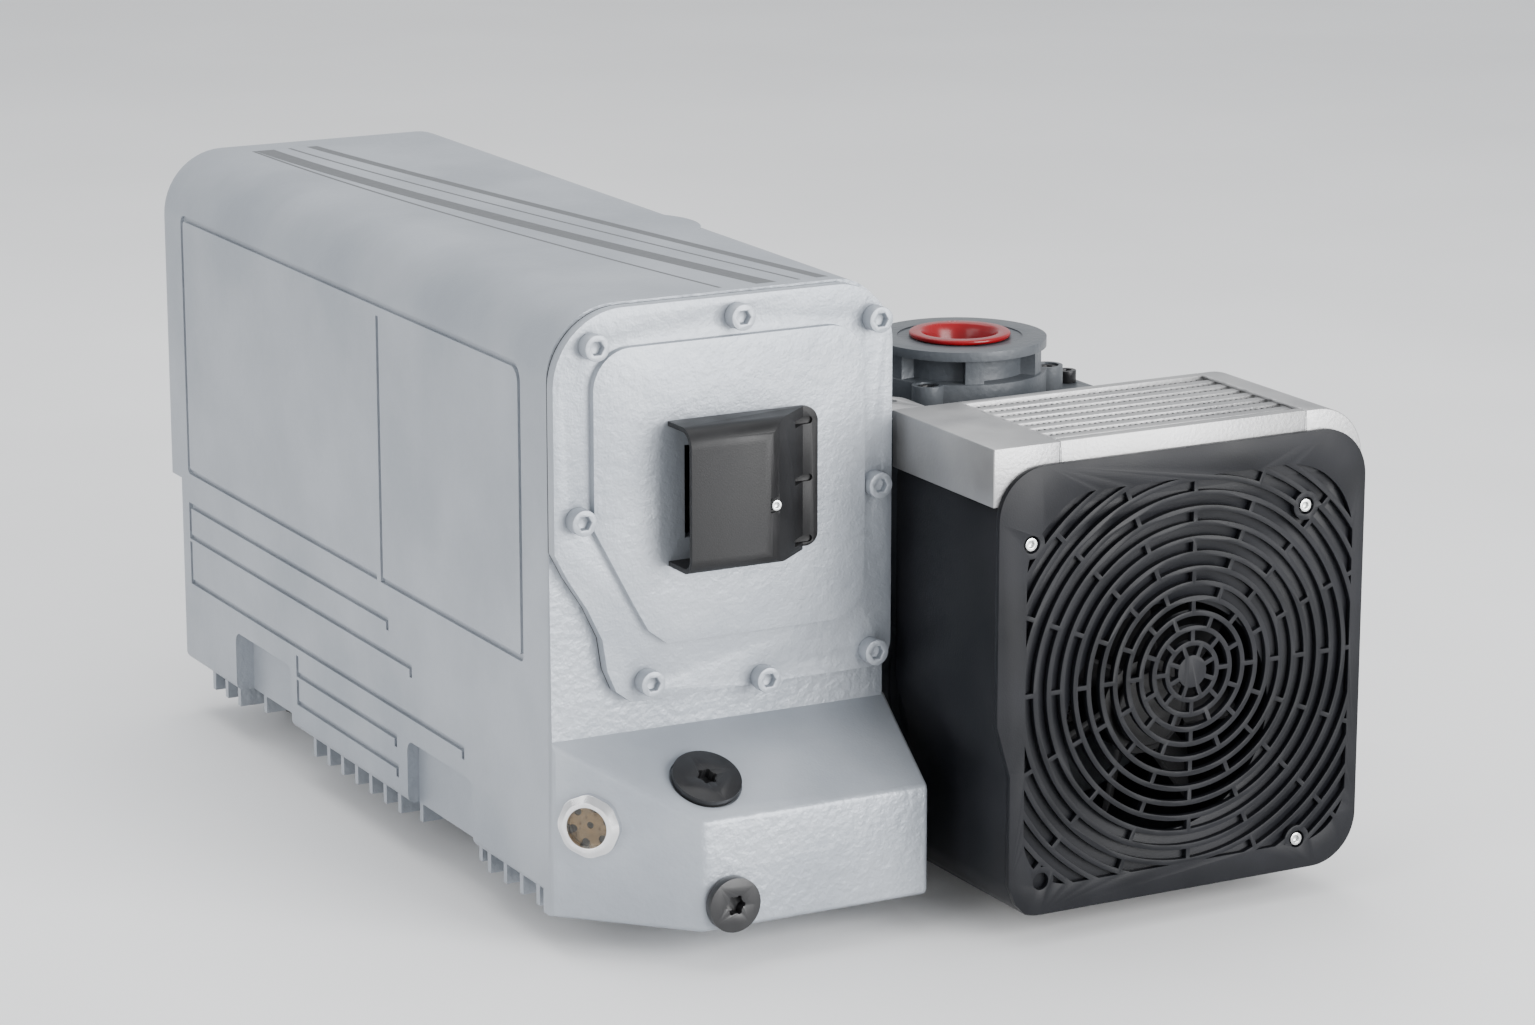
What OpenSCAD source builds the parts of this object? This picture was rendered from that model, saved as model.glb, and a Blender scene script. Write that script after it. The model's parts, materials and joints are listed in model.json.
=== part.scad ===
// Oil-sealed rotary vane vacuum pump: oil casing on the left, pump, fan and cooler on the
// right, motor behind the pump. Measuring frame: x to the right, y to the rear, z up, with
// its zero at the casing's front left corner and the tips of its bottom fins. Every node is
// then moved by "home", so that the finished object stands centred on the ground.

/* [Oil casing] */
// Width of the oil casing
casing_w = 228; // [200:1:280]
// Length of the oil casing behind its front cover
casing_l = 621; // [540:1:750]
// Height of the casing's flat top above the tips of its bottom fins
casing_h = 375; // [340:1:450]
// Wall thickness of the oil casing
casing_wall = 8; // [6:0.5:10]
// Radius of the casing's top left edge
top_left_r = 44; // [30:1:52]
// Radius of the casing's top right edge
top_right_r = 34; // [24:1:44]
// Drop of the bottom fins below the skirt
fin_drop = 12; // [8:0.5:16]
// Thickness of one bottom fin
fin_t = 5; // [3:0.5:7]
// Distance from one bottom fin to the next
fin_pitch = 23.5; // [18:0.5:30]
// Width of the engraved lines on the left side
groove_w = 4; // [3:0.5:6]
// Depth of the engraved lines on the left side
groove_d = 2.5; // [1.5:0.5:3.5]

/* [Sump nose] */
// Length of the nose in front of the casing
nose_l = 69.7; // [56:0.1:84]
// Height of the nose's front face
nose_h = 70; // [58:1:84]
// Height at which the sloping ledge meets the casing
ledge_h = 109; // [98:1:118]
// Width of the slanted corner on the nose's left
nose_slant_w = 67; // [55:1:80]

/* [Front cover] */
// Thickness of the front cover
cover_t = 8; // [6:0.5:11]
// Thickness of the cover's gasket
gasket_t = 1; // [0.5:0.1:2]
// Height of the cover's lower edge
cover_z = 131; // [124:1:138]
// Step of the raised panel on the cover
panel_step = 5; // [3:0.5:8]
// Thread diameter of the cover screws
cover_screw_d = 10; // [8:1:12]

/* [Exhaust hood] */
// Width of the hood on the cover
hood_w = 99; // [80:1:115]
// Height of the hood on the cover
hood_h = 89; // [72:1:106]
// Reach of the hood in front of the cover
hood_reach = 31; // [24:1:40]
// Wall thickness of the hood
hood_wall = 3; // [2:0.5:4]

/* [Filters] */
// Radius of one exhaust filter element
filter_r = 34; // [27:1:38]
// Length of one exhaust filter element
filter_l = 400; // [320:1:440]

/* [Pump] */
// Height of the shaft above the ground
shaft_h = 132; // [120:1:150]
// Distance from the casing's right wall to the shaft
shaft_gap = 132; // [128:1:160]
// Radius of the pump's cylinder bore
bore_r = 92; // [78:1:98]
// Radius of the rotor
rotor_r = 77; // [64:1:80]
// Length of the cylinder
cylinder_l = 250; // [200:1:300]
// Wall of the cylinder round its bore
cylinder_wall = 12; // [9:1:14]
// Thickness of each end plate
end_plate_t = 22; // [18:1:28]
// Radius of the shaft where it runs in its bearings
shaft_r = 20; // [16:1:24]
// Thickness of one vane
vane_t = 8; // [6:0.5:10]
// Radial height of one vane
vane_h = 44; // [36:1:46]

/* [Fan and shroud] */
// Width of the shroud's front
shroud_w = 263.3; // [240:0.1:315]
// Height of the shroud's front
shroud_h = 280.9; // [262:0.1:320]
// Depth of the shroud from its grille to its back
shroud_d = 123; // [104:1:148]
// Wall thickness of the shroud
shroud_wall = 3.5; // [2.5:0.5:5]
// Gap between the casing and the shroud
shroud_gap = 8; // [6:1:14]
// Corner radius of the shroud's front
shroud_r = 32; // [22:1:38]
// Radius of the fan opening behind the grille
opening_r = 73; // [60:1:86]
// Distance from one grille ring to the next
ring_pitch = 9.4; // [8:0.1:11]
// Width of the slots in the grille
slot_w = 6.2; // [5:0.1:7]
// Number of fan blades
blades = 7; // [5:1:9]

/* [Oil cooler] */
// Height of the cooler from its lower face to its top
cooler_h = 36; // [28:1:42]
// Width of the cooler's left tank
tank_w = 46; // [36:1:56]
// Height of the cooler's top above the shroud's front
cooler_rise = 12.7; // [9:0.1:16]
// Number of fin rows in the cooler
fin_rows = 8; // [6:1:10]
// Width of the plain bars between the fin rows
bar_w = 7.4; // [5:0.2:9]

/* [Inlet] */
// Radius of the inlet flange
flange_r = 55.5; // [46:0.5:58]
// Thickness of the inlet flange's top disc
flange_t = 6; // [5:0.5:9]
// Height of the inlet flange above the pump's top
flange_h = 38; // [36:1:46]
// Radius of the inlet thread's bore
inlet_r = 28.5; // [24:0.5:30]
// Radius of the red cap's rim
cap_r = 32.5; // [31:0.5:36]

/* [Motor] */
// Radius of the motor over its cooling fins
motor_r = 123; // [100:1:125]
// Length of the motor's finned frame
motor_l = 330; // [270:1:400]
// Length of the motor's fan cowl
cowl_l = 90; // [74:1:108]
// Number of cooling fins round the motor
motor_fins = 36; // [24:2:44]

/* [Oil filter] */
// Radius of the oil filter cartridge
oil_filter_r = 46; // [38:1:52]
// Length of the oil filter cartridge
oil_filter_l = 88; // [72:1:106]

/* [Feet] */
// Height of each rubber foot
foot_h = 24; // [20:1:30]
// Radius of each rubber foot
foot_r = 20; // [16:1:24]

/* [Hidden] */
$fn = 64;
eps = 0.01;

// ---- fits and clearances
run_fit = 0.05;       // radial gap of a shaft in its bearing
slide_gap = 0.1;      // gap each side of a sliding vane
body_gap = 0.4;       // gap between pieces that move apart
hole_gap = 0.1;       // radial gap of a screw in its hole

// ---- heights and the casing's stations
ground_z = -foot_h;
axis_x = casing_w + shaft_gap;
axis_z = ground_z + shaft_h;
rear_step_y = casing_l - 18;
rear_step_z = 145;
notch_top = 55;
notch_l = 100;
notch_1_y = 408 * casing_l / 621;
notch_2_y = 114;
notch_1_d = 13;
notch_2_d = 8;
sump_wall_x = notch_1_d + casing_wall;
sump_top = 64;
upper_z = 138;

// ---- side lines of the casing
line_end_front = 36;
line_end_rear = casing_l - 31;
panel_z0 = 153;
panel_z1 = casing_h - 41;
divider_y = 249 * casing_l / 621;
rib_tick = 5;
rib_lines = [   // height, front end, rear end
  [128, divider_y - 9, line_end_rear], [105.5, divider_y - 45, line_end_rear],
  [72.5, 125, line_end_rear], [52.5, divider_y - 19, notch_1_y - 10],
  [32.7, divider_y - 21, notch_1_y - 10]];

// ---- front cover: screws at (x, z)
cover_r = 40;
cover_screws_at = [
  [24.7, casing_h - 22.5], [casing_w * 0.534, casing_h - 13.4], [casing_w - 12.2, casing_h - 24],
  [15.4, casing_h - 127], [casing_w - 4, casing_h - 127] - [8, 0], [60.2, cover_z + 12.2],
  [casing_w * 0.609, cover_z + 4], [casing_w - 14, cover_z + 11.5]];
cover_y = -gasket_t - cover_t;
panel_y = cover_y - panel_step;
cover_waist = [casing_h - 147, casing_h - 183, casing_h - 203];  // heights down the slanted edge

// ---- exhaust hood on the cover
hood_x = 74;
hood_z = cover_z + 83;
hood_y = panel_y - hood_reach;
hood_bend_x = hood_x + hood_w * 0.485;
hood_bend_r = 20;
hood_slope_angle = 40;
hood_screw_x = hood_bend_x + 8;
hood_screw_z = hood_z + hood_h * 0.42;
hood_seat_y = hood_y + 4;
hood_slot_zs = [hood_z + 6.5, hood_z + hood_h / 2, hood_z + hood_h - 9];

// ---- nose, plugs and sight glass
nose_x1 = casing_w + 3;
nose_x2 = casing_w - 6;
slant_len = sqrt(nose_slant_w * nose_slant_w + nose_l * nose_l);
slant_angle = atan2(nose_l, nose_slant_w);
ledge_angle = atan2(ledge_h - nose_h, nose_l);
glass_s = 25.5;
glass_z = 61.5;
glass_r = 21;
glass_t = 8;
glass_lens_r = 12.8;
fill_x = 83;
fill_y = -nose_l * 0.6;
fill_z = ledge_h - (ledge_h - nose_h) * 0.6;
fill_r = 21.5;
fill_thread_r = 15;
drain_x = nose_slant_w + 17.5;
drain_z = 17.5;
drain_r = 17;
drain_thread_r = 8;

// ---- blind boss on the casing's top, level with it
boss_x = casing_w - 68;
boss_y = 215 * casing_l / 621;
boss_r = 48;
boss_depth = 60;

// ---- filters inside the casing
filter_y = 44;
filter_x = [casing_wall + 8 + filter_r, casing_w - casing_wall - 8 - filter_r];
filter_zs = [upper_z + 10 + filter_r, casing_h - casing_wall - 14 - filter_r];
filter_plate_y = filter_y + filter_l;
filter_bore_r = 20;

// ---- the pump line, from the grille to the motor
shroud_x0 = casing_w + shroud_gap;
shroud_x1 = shroud_x0 + shroud_w;
shroud_z0 = -3.6;
shroud_z1 = shroud_z0 + shroud_h;
shroud_y1 = -3;
shroud_y0 = shroud_y1 - shroud_d;
grille_t = 4;
baffle_y = shroud_y0 + grille_t;
baffle_t = 3;
cooler_z1 = shroud_z1 + cooler_rise;
cooler_z0 = cooler_z1 - cooler_h;
end_y0 = shroud_y1;
cyl_y0 = end_y0 + end_plate_t;
cyl_y1 = cyl_y0 + cylinder_l;
rear_y1 = cyl_y1 + end_plate_t;
coupling_l = 100;
motor_y0 = rear_y1 + coupling_l;
shield_t = 20;
frame_y0 = motor_y0 + shield_t;
frame_y1 = frame_y0 + motor_l;
cowl_y0 = frame_y1 + shield_t;
cowl_y1 = cowl_y0 + cowl_l;

// ---- the pump's eccentric bore: the rotor all but touches it at the upper left
contact_gap = 0.3;
ecc = bore_r - rotor_r - contact_gap;
ecc_angle = -40;
bore_x = axis_x + ecc * cos(ecc_angle);
bore_z = axis_z + ecc * sin(ecc_angle);
body_r = bore_r + cylinder_wall;
deck_z = max(cooler_z1 - 18, bore_z + body_r + 14);
vane_slot_r = rotor_r - vane_h - 3;
deck_x0 = casing_w + 36;
deck_x1 = axis_x + 58;
exhaust_z0 = axis_z - 14;
exhaust_z1 = exhaust_z0 + 50;
exhaust_y0 = cyl_y0 + 45;
exhaust_y1 = cyl_y1 - 45;
seat_x = casing_w + 34;
leaf_t = 0.8;

// ---- inlet
inlet_x = axis_x - 25;
inlet_y = cyl_y0 + 71;
inlet_z1 = deck_z + flange_h;
inlet_base_t = 17;
inlet_ear_r = flange_r + 1.5;
inlet_ears = [219, 339, 99];
deck_screws_at = [[inlet_x + 78, inlet_y - 4], [inlet_x + 78, inlet_y + 120], [inlet_x - 64, inlet_y + 150]];
ear_seat = 8;
disc_lift = 8;
throat_r = inlet_r - 4;
seat_z = inlet_z1 - 24;
seat_t = 3;
seat_r = inlet_r - 8;
disc_t = 3;
spring_r = 14;
spring_z0 = deck_z - 10;
disc_z1 = seat_z - body_gap;
disc_z0 = disc_z1 - disc_t;
spring_turns = 4;

// ---- fan
fan_r = opening_r - 4;
fan_y0 = baffle_y + 22;
fan_y1 = fan_y0 + 42;
fan_hub_r = 30;

// ---- cooler
core_x0 = shroud_x0 - 2 + tank_w;
core_x1 = shroud_x1 - 43;
cooler_x0 = shroud_x0 - 2;
cooler_x1 = shroud_x1 - 0.5;
cooler_y0 = shroud_y0 + grille_t;
cooler_y1 = shroud_y1 + 2;
row_pitch = (cooler_y1 - cooler_y0 - bar_w) / fin_rows;
tooth = 4;

// ---- oil filter and pipes
head_x0 = bore_x + body_r + 8;
head_x1 = head_x0 + 26;
head_y = cyl_y0 + 176;
head_z = axis_z + 12;
cartridge_x1 = head_x1 + oil_filter_l;
pipe_r = 8;
right_bend = 24;
left_bend = 10;
right_pipe_x = core_x1 + 18;
right_pipe_z = cooler_z0 + 14;
right_pipe_y = cooler_y1 + right_bend + 5;
right_port_z = bore_z + 59;
left_pipe_x = bore_x - body_r - left_bend - 1.5;
left_pipe_z = (cooler_z0 + cooler_z1) / 2;
left_pipe_y = cooler_y1 + 0.5 + left_bend;

// ---- motor
frame_r = motor_r - 14;
fin_h = motor_r - frame_r;
stator_r = frame_r - 9;
core_r = 62;
air_gap = 0.6;
motor_shaft_r = 19;
box_x0 = axis_x + motor_r + 1;
box_w = 74;
box_y0 = frame_y0 + 50;
box_l = 128;
box_z0 = axis_z - 62;
box_h = 118;

// ---- feet
foot_x0 = 76;
foot_x1 = axis_x + 108;
foot_y0 = 46;
foot_y1 = 560 * casing_l / 621;
foot_stud_r = 4.9;
foot_stud_l = 12;
foot_screw_r = 4.25;
foot_screw_l = 12;
feet_at = [[foot_x0, foot_y0], [foot_x1, foot_y0], [foot_x0, foot_y1], [foot_x1, foot_y1]];

// ---- the finished object's frame
min_x = min(0, (glass_s - glass_r) * cos(slant_angle) - glass_t * sin(slant_angle));
max_x = max(cartridge_x1, box_x0 + box_w, shroud_x1);
home = [-(min_x + max_x) / 2, -(shroud_y0 + cowl_y1) / 2, -ground_z];

// ---- helpers -------------------------------------------------------------------------------

// Box between two corners
module block(a, b) translate(a) cube(b - a);

// Cylinder along y
module ycyl(x, z, y0, y1, r) translate([x, y1, z]) rotate([90, 0, 0]) cylinder(h = y1 - y0, r = r);

// Ring along y
module yring(x, z, y0, y1, ro, ri)
  difference() {
    ycyl(x, z, y0, y1, ro);
    ycyl(x, z, y0 - 1, y1 + 1, ri);
  }

// Cylinder along x
module xcyl(y, z, x0, x1, r) translate([x0, y, z]) rotate([0, 90, 0]) cylinder(h = x1 - x0, r = r);

// Flat outline in x and z, drawn out along y
module along_y(y0, y1) translate([0, y1, 0]) rotate([90, 0, 0]) linear_extrude(y1 - y0) children();

// Flat outline in y and z, drawn out along x
module along_x(x0, x1) translate([x0, 0, 0]) rotate([90, 0, 90]) linear_extrude(x1 - x0) children();

// Rectangle with its own radius at bottom left, bottom right, top right and top left
module rounded(x0, z0, x1, z1, r) {
  difference() {
    translate([x0, z0]) square([x1 - x0, z1 - z0]);
    corner_cut(x0, z0, 1, 1, r[0]);
    corner_cut(x1, z0, -1, 1, r[1]);
    corner_cut(x1, z1, -1, -1, r[2]);
    corner_cut(x0, z1, 1, -1, r[3]);
  }
}

// What a round corner takes off
module corner_cut(x, z, sx, sz, r)
  if (r > 0)
    translate([x, z]) mirror([sx < 0 ? 1 : 0, 0]) mirror([0, sz < 0 ? 1 : 0])
      difference() {
        translate([-1, -1]) square(r + 1);
        translate([r, r]) circle(r);
      }

// Socket head screw along y, its head towards the front, with a six-sided socket
module screw_y(x, z, y_seat, d, l) {
  head_r = d * 0.8;
  difference() {
    union() {
      ycyl(x, z, y_seat - d, y_seat, head_r);
      ycyl(x, z, y_seat - eps, y_seat + l, d / 2);
    }
    translate([x, y_seat - d / 2, z]) rotate([90, 0, 0]) cylinder(h = d, r = d * 0.46, $fn = 6);
  }
}

// Socket head screw along z, its head on top
module screw_z(x, y, z_seat, d, l)
  translate([x, y, z_seat]) rotate([-90, 0, 0]) screw_y(0, 0, 0, d, l);

// Things placed on the nose's slanted face: local x along the face, local z up, local y inwards
module on_slant() rotate([0, 0, -slant_angle]) children();

// Things placed on the ledge: local z points out of it
module on_ledge(x, y, z) translate([x, y, z]) rotate([ledge_angle, 0, 0]) children();

// ---- oil casing ----------------------------------------------------------------------------

module casing_profile(inset)
  rounded(inset, fin_drop + inset, casing_w - inset, casing_h - inset,
          [max(6 - inset, 1), max(6 - inset, 1), top_right_r - inset, top_left_r - inset]);

// The nose: plan outline with its slanted corner, under the sloping ledge
module nose(inset) {
  intersection() {
    translate([0, 0, -1]) linear_extrude(casing_h)
      polygon([[inset, 12], [inset, -inset * 0.4], [nose_slant_w + inset * 0.4, -nose_l + inset],
               [nose_x2 - inset, -nose_l + inset], [nose_x1 - inset, 0], [nose_x1 - inset, 12]]);
    along_x(-1, casing_w + 10)
      polygon([[-nose_l - 1, inset], [12, inset], [12, ledge_h - inset * 1.15],
               [0, ledge_h - inset * 1.15],
               [-nose_l - 1, nose_h - inset * 1.15 - (ledge_h - nose_h) / nose_l]]);
  }
}

module fin_group(y0, count)
  for (i = [0 : count - 1])
    block([3, y0 + i * fin_pitch - fin_t / 2, 0],
          [casing_w - 3, y0 + i * fin_pitch + fin_t / 2, fin_drop + 2]);

// Pocket in the left side, open downwards
module notch(y0, depth)
  along_x(-1, depth) rounded(y0, -1, y0 + notch_l, notch_top, [0, 0, 8, 8]);

// One straight engraved line on the left side
module side_line(y0, z0, y1, z1) block([-1, y0, z0], [groove_d, y1, z1]);

module side_lines() {
  h = groove_w / 2;
  for (l = rib_lines) {
    side_line(l[1], l[0] - h, l[2], l[0] + h);
    side_line(l[1], l[0] - h - rib_tick, l[1] + groove_w, l[0] + h);
  }
  side_line(line_end_rear - groove_w, rib_lines[1][0], line_end_rear, rib_lines[0][0]);
  side_line(line_end_rear - groove_w, rib_lines[2][0], line_end_rear, rib_lines[1][0] - 4);
  side_line(notch_1_y - 10 - groove_w, rib_lines[3][0], notch_1_y - 10, rib_lines[3][0] + 13);
  side_line(notch_1_y - 10 - groove_w, rib_lines[4][0], notch_1_y - 10, rib_lines[3][0] - 4);
  difference() {
    along_x(-1, groove_d)
      rounded(line_end_front, panel_z0 - h, line_end_rear, panel_z1 + h, [4, 4, 6, 12]);
    along_x(-2, groove_d + 1)
      rounded(line_end_front + groove_w, panel_z0 + h, line_end_rear - groove_w, panel_z1 - h, [2, 2, 3, 9]);
    block([-2, divider_y + 1, panel_z0 - h - 1], [groove_d + 1, divider_y + 8, panel_z0 + h + 1]);
  }
  side_line(divider_y - h, panel_z0 - h, divider_y + h, panel_z1 - 8);
}

module oil_casing() color("silver") difference() {
  union() {
    difference() {
      along_y(0, casing_l) casing_profile(0);
      block([-1, rear_step_y, -1], [casing_w + 1, casing_l + 1, rear_step_z]);
    }
    nose(0);
    fin_group(26, 5);
    fin_group(notch_1_y - 197, 8);
    fin_group(notch_1_y + 80, 4);
    intersection() {
      translate([boss_x, boss_y, casing_h - boss_depth]) cylinder(h = boss_depth, r = boss_r);
      block([boss_x, boss_y - boss_r, 0], [casing_w, boss_y + boss_r, casing_h]);
    }
    for (p = [feet_at[0], feet_at[2]]) translate([p[0], p[1], 0]) cylinder(h = fin_drop + 2, r = foot_r);
  }
  difference() {                                            // the space above, where the filters lie
    along_y(casing_wall, casing_l - casing_wall) intersection() {
      casing_profile(casing_wall);
      translate([0, upper_z]) square([casing_w, casing_h]);
    }
    cover_bosses();
  }
  along_y(-1, casing_wall + 1) cover_opening();
  block([sump_wall_x, 10, fin_drop + casing_wall],          // the sump
        [casing_w - casing_wall, rear_step_y - casing_wall, sump_top]);
  block([casing_wall, 10, sump_top - 1], [casing_w - casing_wall, rear_step_y - casing_wall, upper_z + 1]);
  difference() {                                            // the nose's inside
    nose(casing_wall);
    block([-1, -nose_l, -1], [casing_w + 9, 14, casing_wall + 1]);
  }
  block([sump_wall_x, -12, fin_drop + casing_wall], [casing_w - casing_wall, 12, ledge_h - 12]);
  notch(notch_1_y, notch_1_d);
  notch(notch_2_y, notch_2_d);
  side_lines();
  for (p = cover_screws_at) ycyl(p[0], p[1], -1, 22, cover_screw_d / 2 + hole_gap);
  block([casing_w - casing_wall - 1, exhaust_y0 + 6, exhaust_z0 + 6],       // way in from the pump
        [casing_w + 1, exhaust_y1 - 6, exhaust_z1 - 6]);
  on_ledge(fill_x, fill_y, fill_z) translate([0, 0, -20]) cylinder(h = 30, r = fill_thread_r + hole_gap);
  on_ledge(fill_x, fill_y, fill_z) translate([0, 0, -2]) cylinder(h = 30, r = fill_r + 1);
  ycyl(drain_x, drain_z, -nose_l - 1, -nose_l + 14, drain_thread_r + hole_gap);
  on_slant() ycyl(glass_s, glass_z, -3, 12, glass_lens_r + 4);
  for (p = [feet_at[0], feet_at[2]])
    translate([p[0], p[1], -1]) cylinder(h = foot_stud_l + 1.5, r = foot_stud_r + hole_gap);
}

// Bosses that take the cover screws
module cover_bosses()
  for (p = cover_screws_at) ycyl(p[0], p[1], -2, 26, cover_screw_d / 2 + 5);

// Outline of the cover: round at the top, drawn in at the lower left
module cover_outline()
  difference() {
    rounded(0, cover_z, casing_w + 1, casing_h - 1.5, [16, 16, 38, 46]);
    polygon([[-1, cover_waist[0]], [0, cover_waist[0]], [8.4, cover_waist[0] - 16], [21.4, cover_waist[1]],
             [31.1, cover_waist[2]], [34.2, cover_z + 21], [40, cover_z + 7.6], [51.4, cover_z - 1],
             [-1, cover_z - 1]]);
  }

// The raised panel on the cover
module panel_outline()
  difference() {
    rounded(24, cover_z + 35, casing_w - 20.5, casing_h - 25, [14, 25, 25, 25]);
    polygon([[23, casing_h - 132], [24, casing_h - 134], [38.4, casing_h - 161], [49.5, casing_h - 182],
             [59.3, cover_z + 44.5], [72.6, cover_z + 34.5], [23, cover_z + 34]]);
  }

// Opening of the casing behind the cover, through which the filters go in
module cover_opening()
  difference() {
    rounded(27, cover_z + 26, casing_w - 25, casing_h - 26, [10, 10, 20, 24]);
    polygon([[20, cover_waist[0]], [27, cover_waist[0]], [46, cover_waist[2]], [56, cover_z + 25],
             [20, cover_z + 25]]);
  }

module casing_cover() color("silver") difference() {
  union() {
    along_y(cover_y, -gasket_t) cover_outline();
    along_y(panel_y, cover_y) panel_outline();
  }
  for (p = cover_screws_at) ycyl(p[0], p[1], panel_y - 1, 1, cover_screw_d / 2 + 0.5);
  block([hood_x + 10, panel_y - 1, hood_z + 16], [hood_screw_x - 7, 1, hood_z + hood_h - 16]);
  ycyl(hood_screw_x, hood_screw_z, panel_y - 1, panel_y + 10, 2 + hole_gap);
}

module cover_gasket() color("dimgray") difference() {
  along_y(-gasket_t, 0) cover_outline();
  along_y(-gasket_t - 1, 1) cover_opening();
  for (p = cover_screws_at) ycyl(p[0], p[1], -gasket_t - 1, 1, cover_screw_d / 2 + 0.5);
}

module cover_screws() color("silver")
  for (p = cover_screws_at) screw_y(p[0], p[1], cover_y, cover_screw_d, 25);

// ---- exhaust hood --------------------------------------------------------------------------

// Plan outline of the hood: deep at its mouth, then bending back on the right; "inset" moves it
// in by one wall, and opens it at the mouth and towards the cover
module hood_plan(inset) {
  open = inset > 0 ? 2 : 0;
  r = hood_bend_r - inset;
  centre = [hood_bend_x, hood_y + hood_bend_r];
  out = [sin(hood_slope_angle), -cos(hood_slope_angle)];
  corner = [hood_bend_x + r * tan(hood_slope_angle / 2), hood_y + inset];
  foot_y = panel_y - hood_wall;
  foot_x = centre[0] + r * out[0] + (foot_y - centre[1] - r * out[1]) / tan(hood_slope_angle);
  difference() {
    polygon([[hood_x - 1 - open, panel_y + open], [hood_x - 1 - open, hood_y + inset], corner,
             [foot_x, foot_y], [foot_x, panel_y + open]]);
    difference() {
      polygon([centre, centre + [0, -r - 1], corner + [0.4, -1], centre + (r + 1) * out]);
      translate(centre) circle(r);
    }
  }
}

// Blind slot in the hood's plate
module hood_slot(z) {
  x1 = hood_x + hood_w - 6;
  block([x1 - 16, panel_y - hood_wall - 8, z - 2.2], [x1, panel_y - 0.8, z + 2.2]);
  ycyl(x1, z, panel_y - hood_wall - 8, panel_y - 0.8, 2.2);
}

module exhaust_hood() color([0.1, 0.1, 0.11]) difference() {
  union() {
    difference() {
      union() {
        intersection() {
          translate([0, 0, hood_z]) linear_extrude(hood_h) hood_plan(0);
          along_x(hood_x - 2, hood_x + hood_w + 2)
            rounded(hood_y, hood_z, panel_y + 20, hood_z + hood_h, [10, 0, 0, 12]);
        }
        along_y(panel_y - hood_wall, panel_y)
          rounded(hood_x, hood_z + 2, hood_x + hood_w, hood_z + hood_h, [4, 8, 10, 4]);
      }
      intersection() {
        translate([0, 0, hood_z + hood_wall]) linear_extrude(hood_h - 2 * hood_wall) hood_plan(hood_wall);
        along_x(hood_x - 5, hood_x + hood_w + 2)
          rounded(hood_y + hood_wall, hood_z + hood_wall, panel_y + 20, hood_z + hood_h - hood_wall,
                  [7, 0, 0, 9]);
      }
    }
    block([hood_screw_x - 6, hood_seat_y - 1, hood_screw_z - 6.5],
          [hood_screw_x + 3.5, hood_seat_y + 3, hood_screw_z + 6.5]);
  }
  block([hood_screw_x - 4, hood_y - 1, hood_screw_z - 4.5], [hood_screw_x + 9, hood_seat_y, hood_screw_z + 4.5]);
  ycyl(hood_screw_x, hood_screw_z, hood_y - 1, hood_seat_y + 4, 2 + hole_gap);
  for (z = hood_slot_zs) hood_slot(z);
}

module hood_screw() color("gainsboro") {
  screw_y(hood_screw_x, hood_screw_z, hood_seat_y, 4, hood_reach + 4);
}

// ---- exhaust filters -----------------------------------------------------------------------

module filter_plate() color("silver") difference() {
  along_y(filter_plate_y, filter_plate_y + 5) intersection() {
    casing_profile(casing_wall + 0.1);
    translate([0, upper_z + 2]) square([casing_w, casing_h]);
  }
  for (x = filter_x) for (z = filter_zs)
    ycyl(x, z, filter_plate_y - 1, filter_plate_y + 6, filter_bore_r + hole_gap);
}

module exhaust_filters() color("ivory")
  for (x = filter_x) for (z = filter_zs) difference() {
    union() {
      ycyl(x, z, filter_y, filter_plate_y, filter_r);
      ycyl(x, z, filter_plate_y - eps, filter_plate_y + 14, filter_bore_r);
    }
    ycyl(x, z, filter_y + 8, filter_plate_y + 15, filter_bore_r - 4);
  }

// Bent leaf that holds one filter against its plate
module filter_clips() color("lightsteelblue")
  for (x = filter_x) for (z = filter_zs)
    along_x(x - 10, x + 10)
      polygon([[filter_y, z - 26], [filter_y - 1.5, z - 26], [filter_y - 12, z], [filter_y - 1.5, z + 26],
               [filter_y, z + 26], [filter_y - 10, z]]);

// ---- sight glass, plugs and float ----------------------------------------------------------

module sight_glass_ring() color("gainsboro") on_slant() difference() {
  union() {
    translate([glass_s, 0, glass_z]) rotate([90, 0, 0]) cylinder(h = glass_t, r = glass_r);
    ycyl(glass_s, glass_z, 0, 10, glass_lens_r + 4 - hole_gap);
  }
  ycyl(glass_s, glass_z, -10, 11, glass_lens_r);
}

module sight_glass_lens() color([0.75, 0.7, 0.6, 0.5]) on_slant()
  ycyl(glass_s, glass_z, -5, -1, glass_lens_r - 0.05);

module sight_glass_reflector() color("tan") on_slant() difference() {
  ycyl(glass_s, glass_z, 0, 2, glass_lens_r - 0.05);
  ycyl(glass_s, glass_z, -1, 3, 2.2);
  for (i = [0 : 5])
    ycyl(glass_s + (glass_lens_r - 1.5) * cos(i * 60 + 15), glass_z + (glass_lens_r - 1.5) * sin(i * 60 + 15),
         -1, 3, 2.6);
}

// Flat plug with a six-lobed socket; local z points out of the casing
module plug(r, thread_r, t, l) difference() {
  union() {
    cylinder(h = t, r = r);
    translate([0, 0, -l]) cylinder(h = l + eps, r = thread_r);
  }
  translate([0, 0, t - 7]) cylinder(h = 8, r = 5.2);
  for (i = [0 : 5]) rotate([0, 0, i * 60]) translate([5, 0, t - 7]) cylinder(h = 8, r = 1.5, $fn = 24);
}

module fill_plug() color([0.08, 0.08, 0.09])
  on_ledge(fill_x, fill_y, fill_z) translate([0, 0, body_gap]) plug(fill_r, fill_thread_r - 0.3, 4, 12);

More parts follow.
